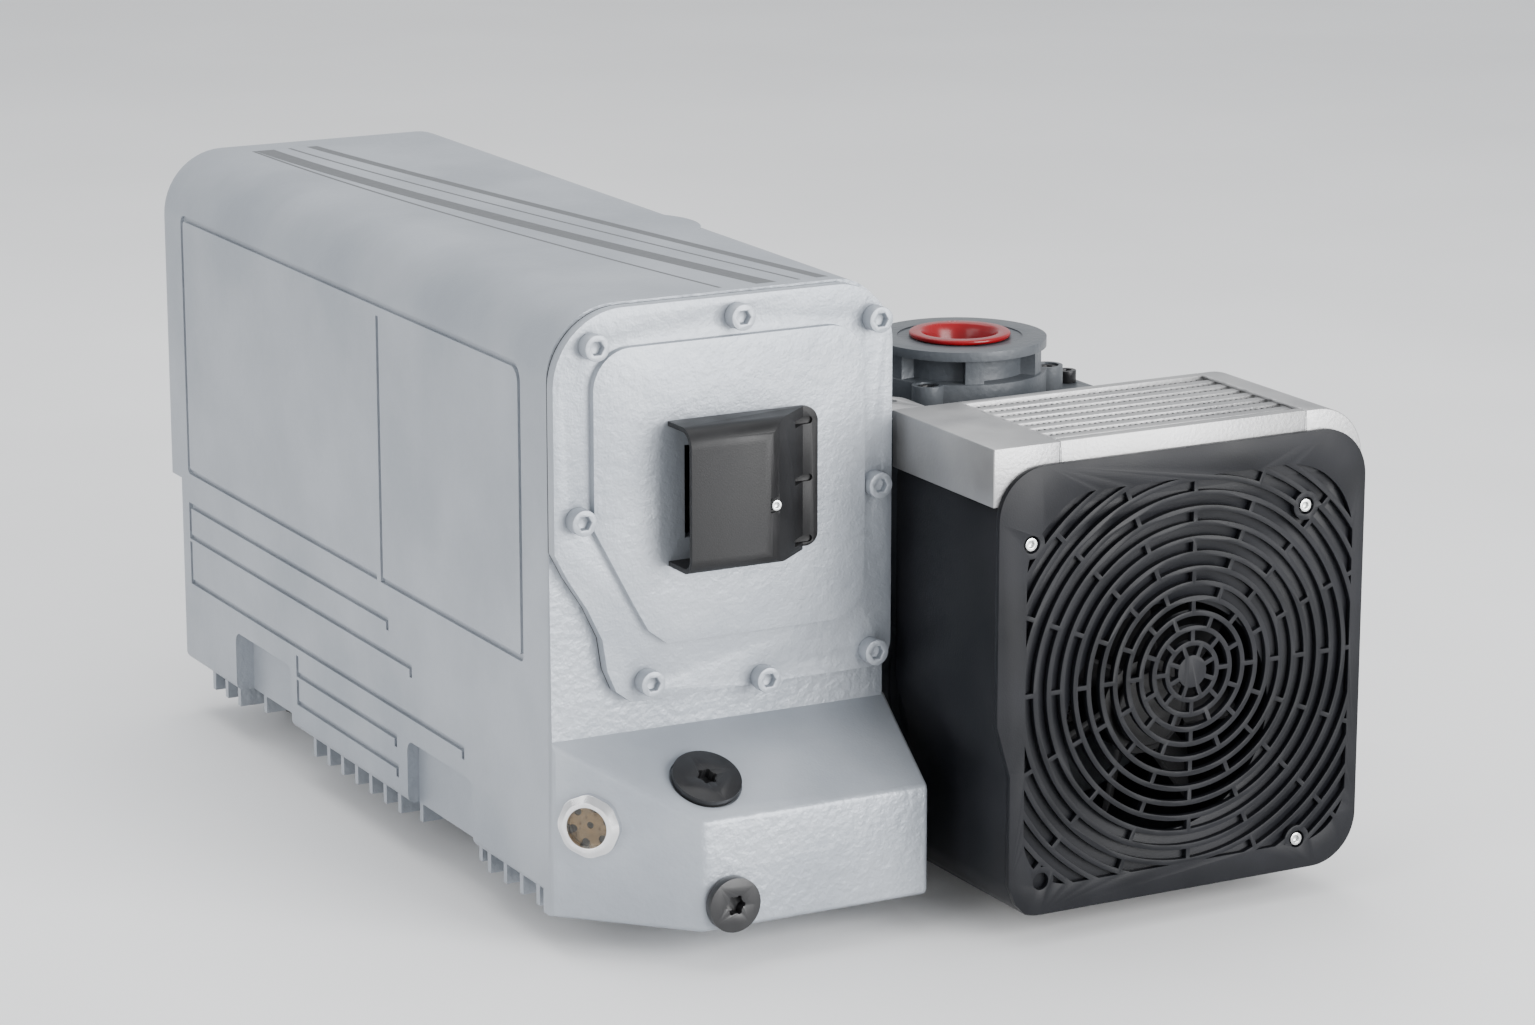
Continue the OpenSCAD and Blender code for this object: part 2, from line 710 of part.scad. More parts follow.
module fill_plug_seal() color([0.2, 0.2, 0.2])
  on_ledge(fill_x, fill_y, fill_z) translate([0, 0, -1.6]) difference() {
    cylinder(h = 2, r = fill_r - 1);
    translate([0, 0, -1]) cylinder(h = 4, r = fill_thread_r);
  }

module drain_plug() color([0.08, 0.08, 0.09])
  translate([drain_x, -nose_l - 2, drain_z]) rotate([90, 0, 0]) plug(drain_r, drain_thread_r - 0.3, 6, 12);

module drain_plug_seal() color("peru")
  yring(drain_x, drain_z, -nose_l - 2, -nose_l - body_gap, drain_r - 3, drain_thread_r);

float_x = casing_w * 0.45;
float_y = rear_step_y - 90;
float_z = 44;

// Seat of the oil return float, standing on the sump's floor
module float_bracket() color("silver") difference() {
  union() {
    block([float_x - 13, float_y, fin_drop + casing_wall],
          [float_x + 13, float_y + 24, fin_drop + casing_wall + 4]);
    for (s = [-13, 8])
      block([float_x + s, float_y + 4, fin_drop + casing_wall], [float_x + s + 5, float_y + 20, float_z + 6]);
  }
  xcyl(float_y + 12, float_z, float_x - 20, float_x + 20, 2 + run_fit);
}

module float_arm() color("gold") {
  xcyl(float_y + 12, float_z, float_x - 14, float_x + 14, 2);
  difference() {
    block([float_x - 4, float_y - 34, float_z - 3], [float_x + 4, float_y + 17, float_z + 3]);
    xcyl(float_y + 12, float_z, float_x - 20, float_x + 20, 1.9);
  }
  translate([float_x, float_y - 48, float_z]) sphere(r = 19);
}

// ---- feet ----------------------------------------------------------------------------------

module rubber_feet() color([0.12, 0.12, 0.12])
  for (p = feet_at) difference() {
    translate([p[0], p[1], ground_z]) cylinder(h = foot_h, r = foot_r);
    translate([p[0], p[1], ground_z - 1]) cylinder(h = foot_screw_l + 1, r = foot_screw_r);
  }

module foot_studs() color("gainsboro")
  for (p = feet_at) translate([p[0], p[1], 0]) cylinder(h = foot_stud_l, r = foot_stud_r);

// ---- pump ----------------------------------------------------------------------------------

module pump_cylinder() color([0.4, 0.42, 0.44]) difference() {
  union() {
    ycyl(bore_x, bore_z, cyl_y0, cyl_y1, body_r);
    block([casing_w, exhaust_y0 - 12, exhaust_z0 - 12], [bore_x - 20, exhaust_y1 + 12, exhaust_z1 + 12]);
    block([deck_x0, cyl_y0, bore_z + 40], [deck_x1, cyl_y1, deck_z - 8]);
    block([deck_x0 - 4, cyl_y0, deck_z - 12], [deck_x1 + 4, cyl_y1, deck_z]);
    block([foot_x1 - 24, cyl_y0, 0], [foot_x1 + 22, foot_y0 + 26, 16]);
    block([bore_x + 40, cyl_y0, 0], [foot_x1 + 4, foot_y0 + 26, 40]);
    block([bore_x, head_y - 30, head_z - 28], [head_x0, head_y + 30, right_port_z + 14]);
    for (i = [0 : 4])
      yring(bore_x, bore_z, cyl_y0 + 30 + i * (cylinder_l - 66) / 4,
            cyl_y0 + 36 + i * (cylinder_l - 66) / 4, body_r + 5, body_r - 2);
  }
  ycyl(right_pipe_x, right_port_z, head_y - 31, head_y - 20, pipe_r + hole_gap);
  ycyl(bore_x, bore_z, cyl_y0 - 1, cyl_y1 + 1, bore_r);
  translate([inlet_x, inlet_y, axis_z]) cylinder(h = deck_z, r = throat_r);
  block([casing_w - 1, exhaust_y0, exhaust_z0], [seat_x, exhaust_y1, exhaust_z1]);
  for (i = [0 : 2])
    xcyl(exhaust_y0 + (i + 0.5) * (exhaust_y1 - exhaust_y0) / 3, (exhaust_z0 + exhaust_z1) / 2 + 4,
         seat_x - 1, bore_x - bore_r + 18, 9);
  translate([foot_x1, foot_y0, -1]) cylinder(h = foot_stud_l + 1.5, r = foot_stud_r + hole_gap);
  for (a = inlet_ears) translate([inlet_x + inlet_ear_r * cos(a), inlet_y + inlet_ear_r * sin(a), deck_z - 20])
    cylinder(h = 24, r = 4 + hole_gap);
  for (p = deck_screws_at) translate([p[0], p[1], deck_z - 18]) cylinder(h = 20, r = 4 + hole_gap);
  for (a = plate_bolt_angles) for (y = [cyl_y0 - 1, cyl_y1 - 20])
    ycyl(bore_x + plate_bolt_r * cos(a), bore_z + plate_bolt_r * sin(a), y, y + 21, 4 + hole_gap);
}

plate_bolt_angles = [18, 54, 100, 140, 204, 250, 306, 340];
plate_bolt_r = bore_r + cylinder_wall / 2;

module end_plate(y0, y1, bearing_y0, bearing_y1) difference() {
  ycyl(bore_x, bore_z, y0, y1, body_r);
  ycyl(axis_x, axis_z, y0 - 1, y1 + 1, shaft_r + 2);
  ycyl(axis_x, axis_z, bearing_y0, bearing_y1, shaft_r + 16);
  for (a = plate_bolt_angles)
    ycyl(bore_x + plate_bolt_r * cos(a), bore_z + plate_bolt_r * sin(a), y0 - 1, y1 + 1, 4.5);
}

module front_end_plate() color([0.4, 0.42, 0.44]) difference() {
  end_plate(end_y0, cyl_y0, end_y0 - 1, end_y0 + 15);
  xcyl(left_pipe_y, bore_z, bore_x - body_r - 4, left_pipe_x + left_bend + 10.5, pipe_r + hole_gap);
}

module rear_end_plate() color([0.4, 0.42, 0.44]) end_plate(cyl_y1, rear_y1, rear_y1 - 15, rear_y1 + 1);

module end_plate_screws() color([0.15, 0.15, 0.16])
  for (a = plate_bolt_angles) {
    x = bore_x + plate_bolt_r * cos(a);
    z = bore_z + plate_bolt_r * sin(a);
    screw_y(x, z, end_y0, 8, end_plate_t + 16);
    translate([x, rear_y1, z]) rotate([0, 0, 180]) screw_y(0, 0, 0, 8, end_plate_t + 16);
  }

module bearings() color("gainsboro") {
  yring(axis_x, axis_z, end_y0 + 1, end_y0 + 15, shaft_r + 16, shaft_r + run_fit);
  yring(axis_x, axis_z, rear_y1 - 15, rear_y1 - 1, shaft_r + 16, shaft_r + run_fit);
}

module shaft_seals() color([0.12, 0.12, 0.12]) {
  yring(axis_x, axis_z, end_y0 + 16, cyl_y0 - 1, shaft_r + 2, shaft_r + run_fit);
  yring(axis_x, axis_z, cyl_y1 + 1, rear_y1 - 16, shaft_r + 2, shaft_r + run_fit);
}

hub_y0 = rear_y1 + 14;
hub_l = 26;
spider_l = 16;
jaw_r = 26;
jaw_w = 13;

// Shaft and rotor body in one piece, with three slots for the vanes
module rotor() color("lightslategray") {
  difference() {
    ycyl(axis_x, axis_z, cyl_y0 + body_gap, cyl_y1 - body_gap, rotor_r);
    for (i = [0 : 2]) vane_place(i)
      block([vane_slot_r, cyl_y0 - 1, -vane_t / 2 - slide_gap],
            [rotor_r + 2, cyl_y1 + 1, vane_t / 2 + slide_gap]);
  }
  ycyl(axis_x, axis_z, fan_y0 + 4, cyl_y0 + body_gap + eps, shaft_r);
  ycyl(axis_x, axis_z, cyl_y1 - body_gap - eps, hub_y0 + hub_l - 2, shaft_r);
}

// Turns a vane's own frame (x along its height) to its slot
module vane_place(i) translate([axis_x, 0, axis_z]) rotate([0, -ecc_angle - i * 120, 0]) children();

module vane(i) vane_place(i)
  block([rotor_r - vane_h - 0.5, cyl_y0 + body_gap, -vane_t / 2],
        [rotor_r - 0.5, cyl_y1 - body_gap, vane_t / 2]);

module vane_1() color("saddlebrown") vane(0);

module vane_2() color("saddlebrown") vane(1);

module vane_3() color("saddlebrown") vane(2);

// Spring leaf that closes the exhaust ports; it hangs from the bead along its top edge
module exhaust_leaf() color("steelblue") {
  block([seat_x - body_gap - leaf_t, exhaust_y0 + 4, exhaust_z0 + 8],
        [seat_x - body_gap, exhaust_y1 - 4, exhaust_z1 - 4]);
  ycyl(seat_x - body_gap - leaf_t / 2, exhaust_z1 - 4, exhaust_y0 + 4, exhaust_y1 - 4, leaf_t / 2 + 0.1);
}

module leaf_stop() color("gray")
  for (y = [exhaust_y0 + 14, exhaust_y1 - 34])
    along_y(y, y + 20)
      polygon([[seat_x - 15, exhaust_z1], [seat_x - 2, exhaust_z1], [seat_x - 2, exhaust_z1 - 2],
               [seat_x - 13, exhaust_z1 - 3], [seat_x - 18, exhaust_z0 + 20], [seat_x - 20, exhaust_z0 + 20]]);

// ---- fan, shroud and grille ----------------------------------------------------------------

module fan_impeller() color("lightgray") {
  yring(axis_x, axis_z, fan_y0 + 4, fan_y1, fan_hub_r, shaft_r);
  difference() {
    for (i = [0 : blades - 1])
      translate([axis_x, (fan_y0 + fan_y1) / 2, axis_z]) rotate([0, i * 360 / blades, 0])
        rotate([38, 0, 0]) block([fan_hub_r - 2, -24, -1.5], [fan_r, 24, 1.5]);
    ycyl(axis_x, axis_z, fan_y0 - 20, fan_y1 + 20, fan_hub_r - eps);
  }
}

// Front outline of the shroud; its left edge steps in below the middle
module shroud_outline(inset) {
  step = 9.5;
  difference() {
    rounded(shroud_x0 + inset, shroud_z0 + inset, shroud_x1 - inset, shroud_z1 - inset,
            [for (i = [0 : 3]) shroud_r - inset]);
    polygon([[shroud_x0 - 1, axis_z + 12], [shroud_x0 + inset, axis_z + 12], [shroud_x0 + step + inset, axis_z - 21],
             [shroud_x0 + step + inset, shroud_z0 + 22 + inset], [shroud_x0 + step + 5 + inset, shroud_z0 + 9 + inset],
             [shroud_x0 + 24, shroud_z0 - 1], [shroud_x0 - 1, shroud_z0 - 1]]);
  }
}

module fan_shroud() color([0.2, 0.21, 0.23]) difference() {
  along_y(baffle_y, shroud_y1) shroud_outline(0);
  along_y(baffle_y + baffle_t, shroud_y1 + 1) shroud_outline(shroud_wall);
  for (p = grille_screws_at) ycyl(p[0], p[1], baffle_y - 1, baffle_y + baffle_t + 1, screw_seat_r + hole_gap);
  block([shroud_x0 - 3, baffle_y - 1, cooler_z0 - 0.05], [shroud_x1 + 3, shroud_y1 + 1, shroud_z1 + 2]);
  ycyl(axis_x, axis_z, baffle_y - 1, baffle_y + baffle_t + 1, opening_r);
}

grille_x = (shroud_x0 + shroud_x1) / 2 + 7;
grille_z = (shroud_z0 + shroud_z1) / 2 - 1;
grille_half_w = shroud_w / 2 - 12.5;
grille_half_h = shroud_h / 2 - 18;
ring_count = ceil((grille_half_w + 30) / ring_pitch);
grille_screws_at = [[grille_x - 116, grille_z + 94], [grille_x + 81, grille_z + 95], [grille_x + 81, grille_z - 120]];
grille_hole_at = [grille_x - 106.5, grille_z - 118];
screw_seat_r = 8;
cup_d = 8.5;

// Slots between the rings, left whole where the webs and the screw seats are
module grille_slots() difference() {
  intersection() {
    difference() {
      for (i = [1 : ring_count]) difference() {
        circle(i * ring_pitch + slot_w / 2 + 3.9);
        circle(i * ring_pitch - slot_w / 2 + 3.9);
        for (k = [0 : 7]) rotate(k * 45 + (i % 2) * 22.5) translate([0, -1.4]) square([i * ring_pitch + 12, 2.8]);
      }
    }
    translate([-grille_x, -grille_z])
      rounded(grille_x - grille_half_w, grille_z - grille_half_h, grille_x + grille_half_w - 3,
              grille_z + grille_half_h, [34, 34, 50, 50]);
  }
  for (p = concat(grille_screws_at, [grille_hole_at]))
    translate([p[0] - grille_x, p[1] - grille_z]) circle(screw_seat_r + 1);
}

module fan_grille() color([0.2, 0.21, 0.23]) {
  difference() {
    union() {
      along_y(shroud_y0, shroud_y0 + grille_t) shroud_outline(0);
      for (p = grille_screws_at) ycyl(p[0], p[1], shroud_y0, shroud_y0 + cup_d, screw_seat_r);
    }
    translate([grille_x, 0, grille_z]) along_y(shroud_y0 - 1, shroud_y0 + grille_t + 1) grille_slots();
    for (p = grille_screws_at) ycyl(p[0], p[1], shroud_y0 - 1, shroud_y0 + cup_d - 3, 5.5);
    for (p = grille_screws_at) ycyl(p[0], p[1], shroud_y0 - 1, shroud_y0 + cup_d + 1, 2.5 + hole_gap);
    ycyl(grille_hole_at[0], grille_hole_at[1], shroud_y0 - 1, shroud_y0 + grille_t + 1, 5.5);
  }
}

module grille_screws() color("gainsboro")
  for (p = grille_screws_at) screw_y(p[0], p[1], shroud_y0 + cup_d - 3, 5, 10);

// ---- oil cooler ----------------------------------------------------------------------------

module cooler_core() color("silver")
  for (i = [0 : fin_rows]) {
    y0 = cooler_y0 + i * row_pitch;
    drop = i == 0 || i == fin_rows ? 0 : 1.5;
    block([core_x0, y0, cooler_z0 + drop], [core_x1, y0 + bar_w, cooler_z1 - drop]);
  }

module cooler_tanks() color("silver") {
  difference() {
    block([cooler_x0, cooler_y0, cooler_z0], [core_x0, cooler_y1, cooler_z1]);
    block([cooler_x0 + 4, cooler_y0 + 4, cooler_z0 + 4], [core_x0 - 4, cooler_y1 - 4, cooler_z1 - 4]);
    ycyl(left_pipe_x, left_pipe_z, cooler_y1 - 5, cooler_y1 + 1, pipe_r + hole_gap);
  }
  difference() {
    along_y(cooler_y0, cooler_y1) rounded(core_x1, cooler_z0, cooler_x1, cooler_z1, [0, 0, cooler_h - 3, 0]);
    along_y(cooler_y0 + 4, cooler_y1 - 4)
      rounded(core_x1 + 4, cooler_z0 + 4, cooler_x1 - 4, cooler_z1 - 4, [0, 0, cooler_h - 9, 0]);
    ycyl(right_pipe_x, right_pipe_z, cooler_y1 - 5, cooler_y1 + 1, pipe_r + hole_gap);
  }
}

// Corrugated fins: a folded strip between each pair of bars
module cooler_fins() color("gray") {
  count = floor((core_x1 - core_x0 - 1) / tooth);
  z0 = cooler_z0 + 3;
  z1 = cooler_z1 - 3.5;
  w = 0.8;
  for (i = [0 : fin_rows - 1]) {
    y0 = cooler_y0 + i * row_pitch + bar_w;
    along_y(y0 + 0.05, y0 + row_pitch - bar_w - 0.05)
      for (k = [0 : count - 1]) translate([core_x0 + 0.5 + k * tooth, 0])
        polygon([[0, z0], [w, z0], [tooth / 2 + w, z1], [tooth + w, z0], [tooth + w, z0 + w],
                 [tooth / 2 + w, z1 + w], [tooth / 2, z1 + w], [0, z0 + w]]);
  }
}

// Fixing lug behind the cooler's left tank
module cooler_lug() color("silver") difference() {
  union() {
    block([cooler_x0 + 1, cooler_y1, cooler_z1 - 6], [cooler_x0 + 25, cooler_y1 + 26, cooler_z1 - 1]);
    translate([cooler_x0 + 13, cooler_y1 + 26, cooler_z1 - 6]) cylinder(h = 5, r = 12);
  }
  translate([cooler_x0 + 13, cooler_y1 + 26, cooler_z1 - 20]) cylinder(h = 20, r = 4.5);
}

// ---- inlet ---------------------------------------------------------------------------------

module inlet_flange() color([0.42, 0.44, 0.46]) difference() {
  union() {
    translate([inlet_x, inlet_y, inlet_z1 - flange_t]) cylinder(h = flange_t, r = flange_r);
    translate([inlet_x, inlet_y, deck_z]) cylinder(h = inlet_base_t, r = flange_r);
    translate([inlet_x, inlet_y, deck_z]) cylinder(h = flange_h - 1, r = flange_r - 12);
    for (a = inlet_ears) translate([inlet_x + inlet_ear_r * cos(a), inlet_y + inlet_ear_r * sin(a), deck_z])
      cylinder(h = inlet_base_t, r = 10);
    for (i = [0 : 5]) translate([inlet_x, inlet_y, deck_z]) rotate([0, 0, i * 60 + 10])
      block([20, -6, inlet_base_t - 1], [flange_r - 2.5, 6, flange_h - flange_t + 1]);
  }
  translate([inlet_x, inlet_y, seat_z + seat_t]) cylinder(h = 40, r = inlet_r);
  translate([inlet_x, inlet_y, seat_z - 1]) cylinder(h = seat_t + 2, r = seat_r);
  translate([inlet_x, inlet_y, deck_z - 1]) cylinder(h = seat_z - deck_z + 1, r = inlet_r);
  translate([inlet_x, inlet_y, inlet_z1 - 0.8]) cylinder(h = 2, r = 40);
  for (a = inlet_ears) translate([inlet_x + inlet_ear_r * cos(a), inlet_y + inlet_ear_r * sin(a), deck_z - 1])
    cylinder(h = 20, r = 4.5);
  for (a = inlet_ears) translate([inlet_x + inlet_ear_r * cos(a), inlet_y + inlet_ear_r * sin(a), deck_z + ear_seat])
    cylinder(h = flange_h - ear_seat - flange_t - 0.5, r = 7.4);
}

module flange_screws() color([0.12, 0.12, 0.13]) {
  for (a = inlet_ears)
    screw_z(inlet_x + inlet_ear_r * cos(a), inlet_y + inlet_ear_r * sin(a), deck_z + ear_seat, 8, 24);
  for (p = deck_screws_at) screw_z(p[0], p[1], deck_z, 8, 16);
}

// Basket that keeps dirt out of the pump, hung in the flange's throat
module inlet_strainer() color("lightsteelblue") translate([inlet_x, inlet_y, 0]) difference() {
  union() {
    translate([0, 0, spring_z0 - 2]) cylinder(h = 1.8, r = throat_r - 0.2);
    translate([0, 0, spring_z0 - 2]) cylinder(h = 12, r = throat_r - 0.2);
  }
  translate([0, 0, spring_z0 - 0.2]) cylinder(h = 30, r = throat_r - 1.4);
  for (i = [0 : 11]) for (k = [0 : 1]) rotate([0, 0, i * 30 + k * 15]) translate([11 + k * 7, 0, spring_z0 - 3])
    cylinder(h = 4, r = 1.7);
}

module check_disc() color("dimgray") translate([inlet_x, inlet_y, disc_z0]) {
  cylinder(h = disc_t, r = inlet_r - 2);
}

// Spring that holds the disc up against its seat
module check_spring() color("gainsboro") translate([inlet_x, inlet_y, 0])
  for (k = [0 : spring_turns]) {
    z = spring_z0 + 0.9 + k * (disc_z0 - body_gap - spring_z0 - 1.8) / spring_turns;
    translate([0, 0, z]) rotate_extrude($fn = 48) translate([spring_r, 0]) circle(r = 0.9, $fn = 16);
    if (k < spring_turns) rotate([0, 0, k * 90]) translate([spring_r, 0, z])
      cylinder(h = (disc_z0 - body_gap - spring_z0 - 1.8) / spring_turns, r = 0.7, $fn = 16);
  }

module inlet_cap() color("firebrick") translate([inlet_x, inlet_y, inlet_z1 - 0.8 + body_gap]) difference() {
  union() {
    rotate_extrude() polygon([[0, 0], [cap_r, 0], [cap_r, 1.2], [cap_r - 3, 3.2], [24, 3.2], [0, 3.2]]);
    translate([0, 0, -13]) cylinder(h = 14, r = inlet_r - body_gap);
  }
  translate([0, 0, -11.5]) cylinder(h = 20, r = 24);
}

// ---- oil filter and pipes ------------------------------------------------------------------

module oil_filter_head() color([0.4, 0.42, 0.44]) difference() {
  union() {
    block([head_x0, head_y - 30, head_z - 28], [head_x0 + 14, head_y + 30, head_z + 28]);
    xcyl(head_y, head_z, head_x0 + 13, head_x1, oil_filter_r - 6);
  }
  xcyl(head_y, head_z, head_x0 + 8, head_x1 + 1, 9);
}

module oil_filter_cartridge() color([0.12, 0.13, 0.14]) difference() {
  union() {
    xcyl(head_y, head_z, head_x1, cartridge_x1 - 6, oil_filter_r);
    xcyl(head_y, head_z, cartridge_x1 - 7, cartridge_x1, oil_filter_r - 6);
  }
  xcyl(head_y, head_z, head_x1 - 1, cartridge_x1 - 10, oil_filter_r - 2);
}

// Quarter of a pipe bend about its own z axis, from +x round to +y
module quarter_bend(r)
  intersection() {
    rotate_extrude() translate([r, 0]) circle(pipe_r);
    translate([0, 0, -pipe_r - 1]) cube([r + pipe_r + 1, r + pipe_r + 1, 2 * pipe_r + 2]);
  }

// Pump to the cooler's right tank, and left tank to the front end plate
module oil_pipes() color("silver") {
  ycyl(right_pipe_x, right_port_z, right_pipe_y + right_bend, head_y - 21, pipe_r);
  translate([right_pipe_x, right_pipe_y + right_bend, right_port_z + right_bend])
    rotate([90, 0, 90]) rotate([0, 0, 180]) quarter_bend(right_bend);
  translate([right_pipe_x, right_pipe_y, right_port_z + right_bend])
    cylinder(h = right_pipe_z - right_port_z - 2 * right_bend, r = pipe_r);
  translate([right_pipe_x, right_pipe_y - right_bend, right_pipe_z - right_bend])
    rotate([90, 0, 90]) quarter_bend(right_bend);
  ycyl(right_pipe_x, right_pipe_z, cooler_y1 - 4, right_pipe_y - right_bend, pipe_r);
  ycyl(left_pipe_x, left_pipe_z, cooler_y1 - 4, left_pipe_y - left_bend, pipe_r);
  translate([left_pipe_x, left_pipe_y - left_bend, left_pipe_z - left_bend])
    rotate([90, 0, 90]) quarter_bend(left_bend);
  translate([left_pipe_x, left_pipe_y, bore_z + left_bend])
    cylinder(h = left_pipe_z - bore_z - 2 * left_bend, r = pipe_r);
  translate([left_pipe_x + left_bend, left_pipe_y, bore_z + left_bend])
    rotate([90, 0, 0]) rotate([0, 0, 180]) quarter_bend(left_bend);
  xcyl(left_pipe_y, bore_z, left_pipe_x + left_bend, left_pipe_x + left_bend + 10, pipe_r);
}

// ---- coupling and motor --------------------------------------------------------------------

module coupling_housing() color([0.4, 0.42, 0.44]) difference() {
  union() {
    ycyl(axis_x, axis_z, rear_y1, motor_y0, 96);
    ycyl(axis_x, axis_z, motor_y0 - 12, motor_y0, motor_r - 3);
  }
  ycyl(axis_x, axis_z, rear_y1 + 10, motor_y0 + 1, 84);
  ycyl(axis_x, axis_z, rear_y1 - 1, rear_y1 + 11, shaft_r + 16);
  for (a = plate_bolt_angles)
    ycyl(bore_x + plate_bolt_r * cos(a), bore_z + plate_bolt_r * sin(a), rear_y1 - 1, rear_y1 + 10, 7.5);
  for (a = [90, 270]) housing_window(a);
  for (a = motor_bolt_angles)
    ycyl(axis_x + motor_bolt_r * cos(a), axis_z + motor_bolt_r * sin(a), motor_y0 - 13, motor_y0 + 1, 5.5);
}

motor_bolt_angles = [45, 135, 225, 315];
motor_bolt_r = 109;

// Window in the coupling housing
module housing_window(a)
  translate([axis_x, (rear_y1 + motor_y0) / 2, axis_z]) rotate([0, -a, 0])
    translate([70, -26, -30]) cube([40, 46, 60]);

module jaws(y0, y1, start)
  for (i = [0 : 2])
    intersection() {
      yring(axis_x, axis_z, y0, y1, 44, jaw_r);
      translate([axis_x, 0, axis_z]) rotate([0, start + i * 120, 0])
        block([10, y0, -jaw_w / 2], [60, y1, jaw_w / 2]);
    }

module pump_coupling_hub() color("slategray") {
  yring(axis_x, axis_z, hub_y0, hub_y0 + hub_l, 46, shaft_r);
  jaws(hub_y0 + hub_l - eps, hub_y0 + hub_l + spider_l - 1, 0);
}

hub2_y = hub_y0 + hub_l + spider_l;

module motor_coupling_hub() color("slategray") {
  yring(axis_x, axis_z, hub2_y, hub2_y + hub_l, 46, motor_shaft_r);
  jaws(hub2_y - spider_l + 1, hub2_y + eps, 60);
}

// Elastic star between the two hubs
module coupling_spider() color("gold") difference() {
  for (i = [0 : 5]) intersection() {
    yring(axis_x, axis_z, hub2_y - spider_l + 1, hub2_y - 1, 44, jaw_r);
    translate([axis_x, 0, axis_z]) rotate([0, 30 + i * 60, 0])
      block([10, hub2_y - spider_l, -5], [60, hub2_y, 5]);
  }
  for (i = [0 : 5]) translate([axis_x, 0, axis_z]) rotate([0, i * 60, 0])
    block([10, hub2_y - spider_l - 1, -jaw_w / 2 - body_gap], [60, hub2_y + 1, jaw_w / 2 + body_gap]);
}

module motor_frame() color([0.42, 0.44, 0.47]) difference() {
  union() {
    yring(axis_x, axis_z, frame_y0, frame_y1, frame_r, stator_r);
    for (i = [0 : motor_fins - 1]) translate([axis_x, 0, axis_z]) rotate([0, i * 360 / motor_fins, 0])
      block([frame_r - 3, frame_y0 + 8, -1.6], [motor_r, frame_y1 - 8, 1.6]);
    ycyl(axis_x, axis_z, motor_y0, frame_y0 + eps, motor_r - 3);
    ycyl(axis_x, axis_z, frame_y1 - eps, cowl_y0, frame_r);
    block([foot_x1 - 30, foot_y1 - 30, 0], [foot_x1 + 24, foot_y1 + 30, 16]);
    block([foot_x1 - 30, foot_y1 - 14, 0], [foot_x1 - 4, foot_y1 + 14, axis_z - 46]);
    block([axis_x + 60, box_y0 + 10, box_z0 + 12], [box_x0, box_y0 + box_l - 10, box_z0 + box_h - 12]);
  }
  ycyl(axis_x, axis_z, frame_y0, frame_y1, stator_r);
  ycyl(axis_x, axis_z, motor_y0 - 1, cowl_y0 + 1, motor_shaft_r + run_fit);
  translate([foot_x1, foot_y1, -1]) cylinder(h = foot_stud_l + 1.5, r = foot_stud_r + hole_gap);
  for (a = motor_bolt_angles)
    ycyl(axis_x + motor_bolt_r * cos(a), axis_z + motor_bolt_r * sin(a), motor_y0 - 1, motor_y0 + 18, 5 + hole_gap);
}

module motor_stator() color("peru")
  yring(axis_x, axis_z, frame_y0 + 50, frame_y1 - 50, stator_r, core_r + air_gap);

module motor_rotor() color("lightgray") {
  ycyl(axis_x, axis_z, frame_y0 + 56, frame_y1 - 56, core_r);
  ycyl(axis_x, axis_z, hub2_y + 2, cowl_y0 + 50, motor_shaft_r);
}

module motor_fan() color([0.15, 0.15, 0.16]) {
  yring(axis_x, axis_z, cowl_y0 + 14, cowl_y0 + 50, 32, motor_shaft_r);
  yring(axis_x, axis_z, cowl_y0 + 14, cowl_y0 + 17, frame_r - 16, 31);
  for (i = [0 : 7]) translate([axis_x, 0, axis_z]) rotate([0, i * 45, 0])
    block([31, cowl_y0 + 16, -1.5], [frame_r - 18, cowl_y0 + 46, 1.5]);
}

module motor_cowl() color([0.42, 0.44, 0.47]) difference() {
  ycyl(axis_x, axis_z, cowl_y0 - 18, cowl_y1, motor_r - 1);
  ycyl(axis_x, axis_z, cowl_y0 - 19, cowl_y0, frame_r + fin_h - 3);
  ycyl(axis_x, axis_z, cowl_y0 - 1, cowl_y1 - 3, motor_r - 4);
  for (i = [1 : 7]) difference() {
    yring(axis_x, axis_z, cowl_y1 - 4, cowl_y1 + 1, 22 + i * 10, 17 + i * 10);
    for (k = [0 : 5])
      translate([axis_x, 0, axis_z]) rotate([0, k * 60, 0])
        block([0, cowl_y1 - 5, -3], [motor_r, cowl_y1 + 2, 3]);
  }
}

module terminal_box() color([0.42, 0.44, 0.47]) difference() {
  along_x(box_x0, box_x0 + box_w) rounded(box_y0, box_z0, box_y0 + box_l, box_z0 + box_h, [8, 8, 8, 8]);
  along_x(box_x0 + 4, box_x0 + box_w - 6)
    rounded(box_y0 + 4, box_z0 + 4, box_y0 + box_l - 4, box_z0 + box_h - 4, [5, 5, 5, 5]);
  ycyl(box_x0 + box_w / 2, box_z0 + 34, box_y0 - 1, box_y0 + 5, 12);
}

module motor_bolts() color([0.15, 0.15, 0.16])
  for (a = motor_bolt_angles)
    screw_y(axis_x + motor_bolt_r * cos(a), axis_z + motor_bolt_r * sin(a), motor_y0 - 12, 10, 28);

// ---- the nodes -----------------------------------------------------------------------------

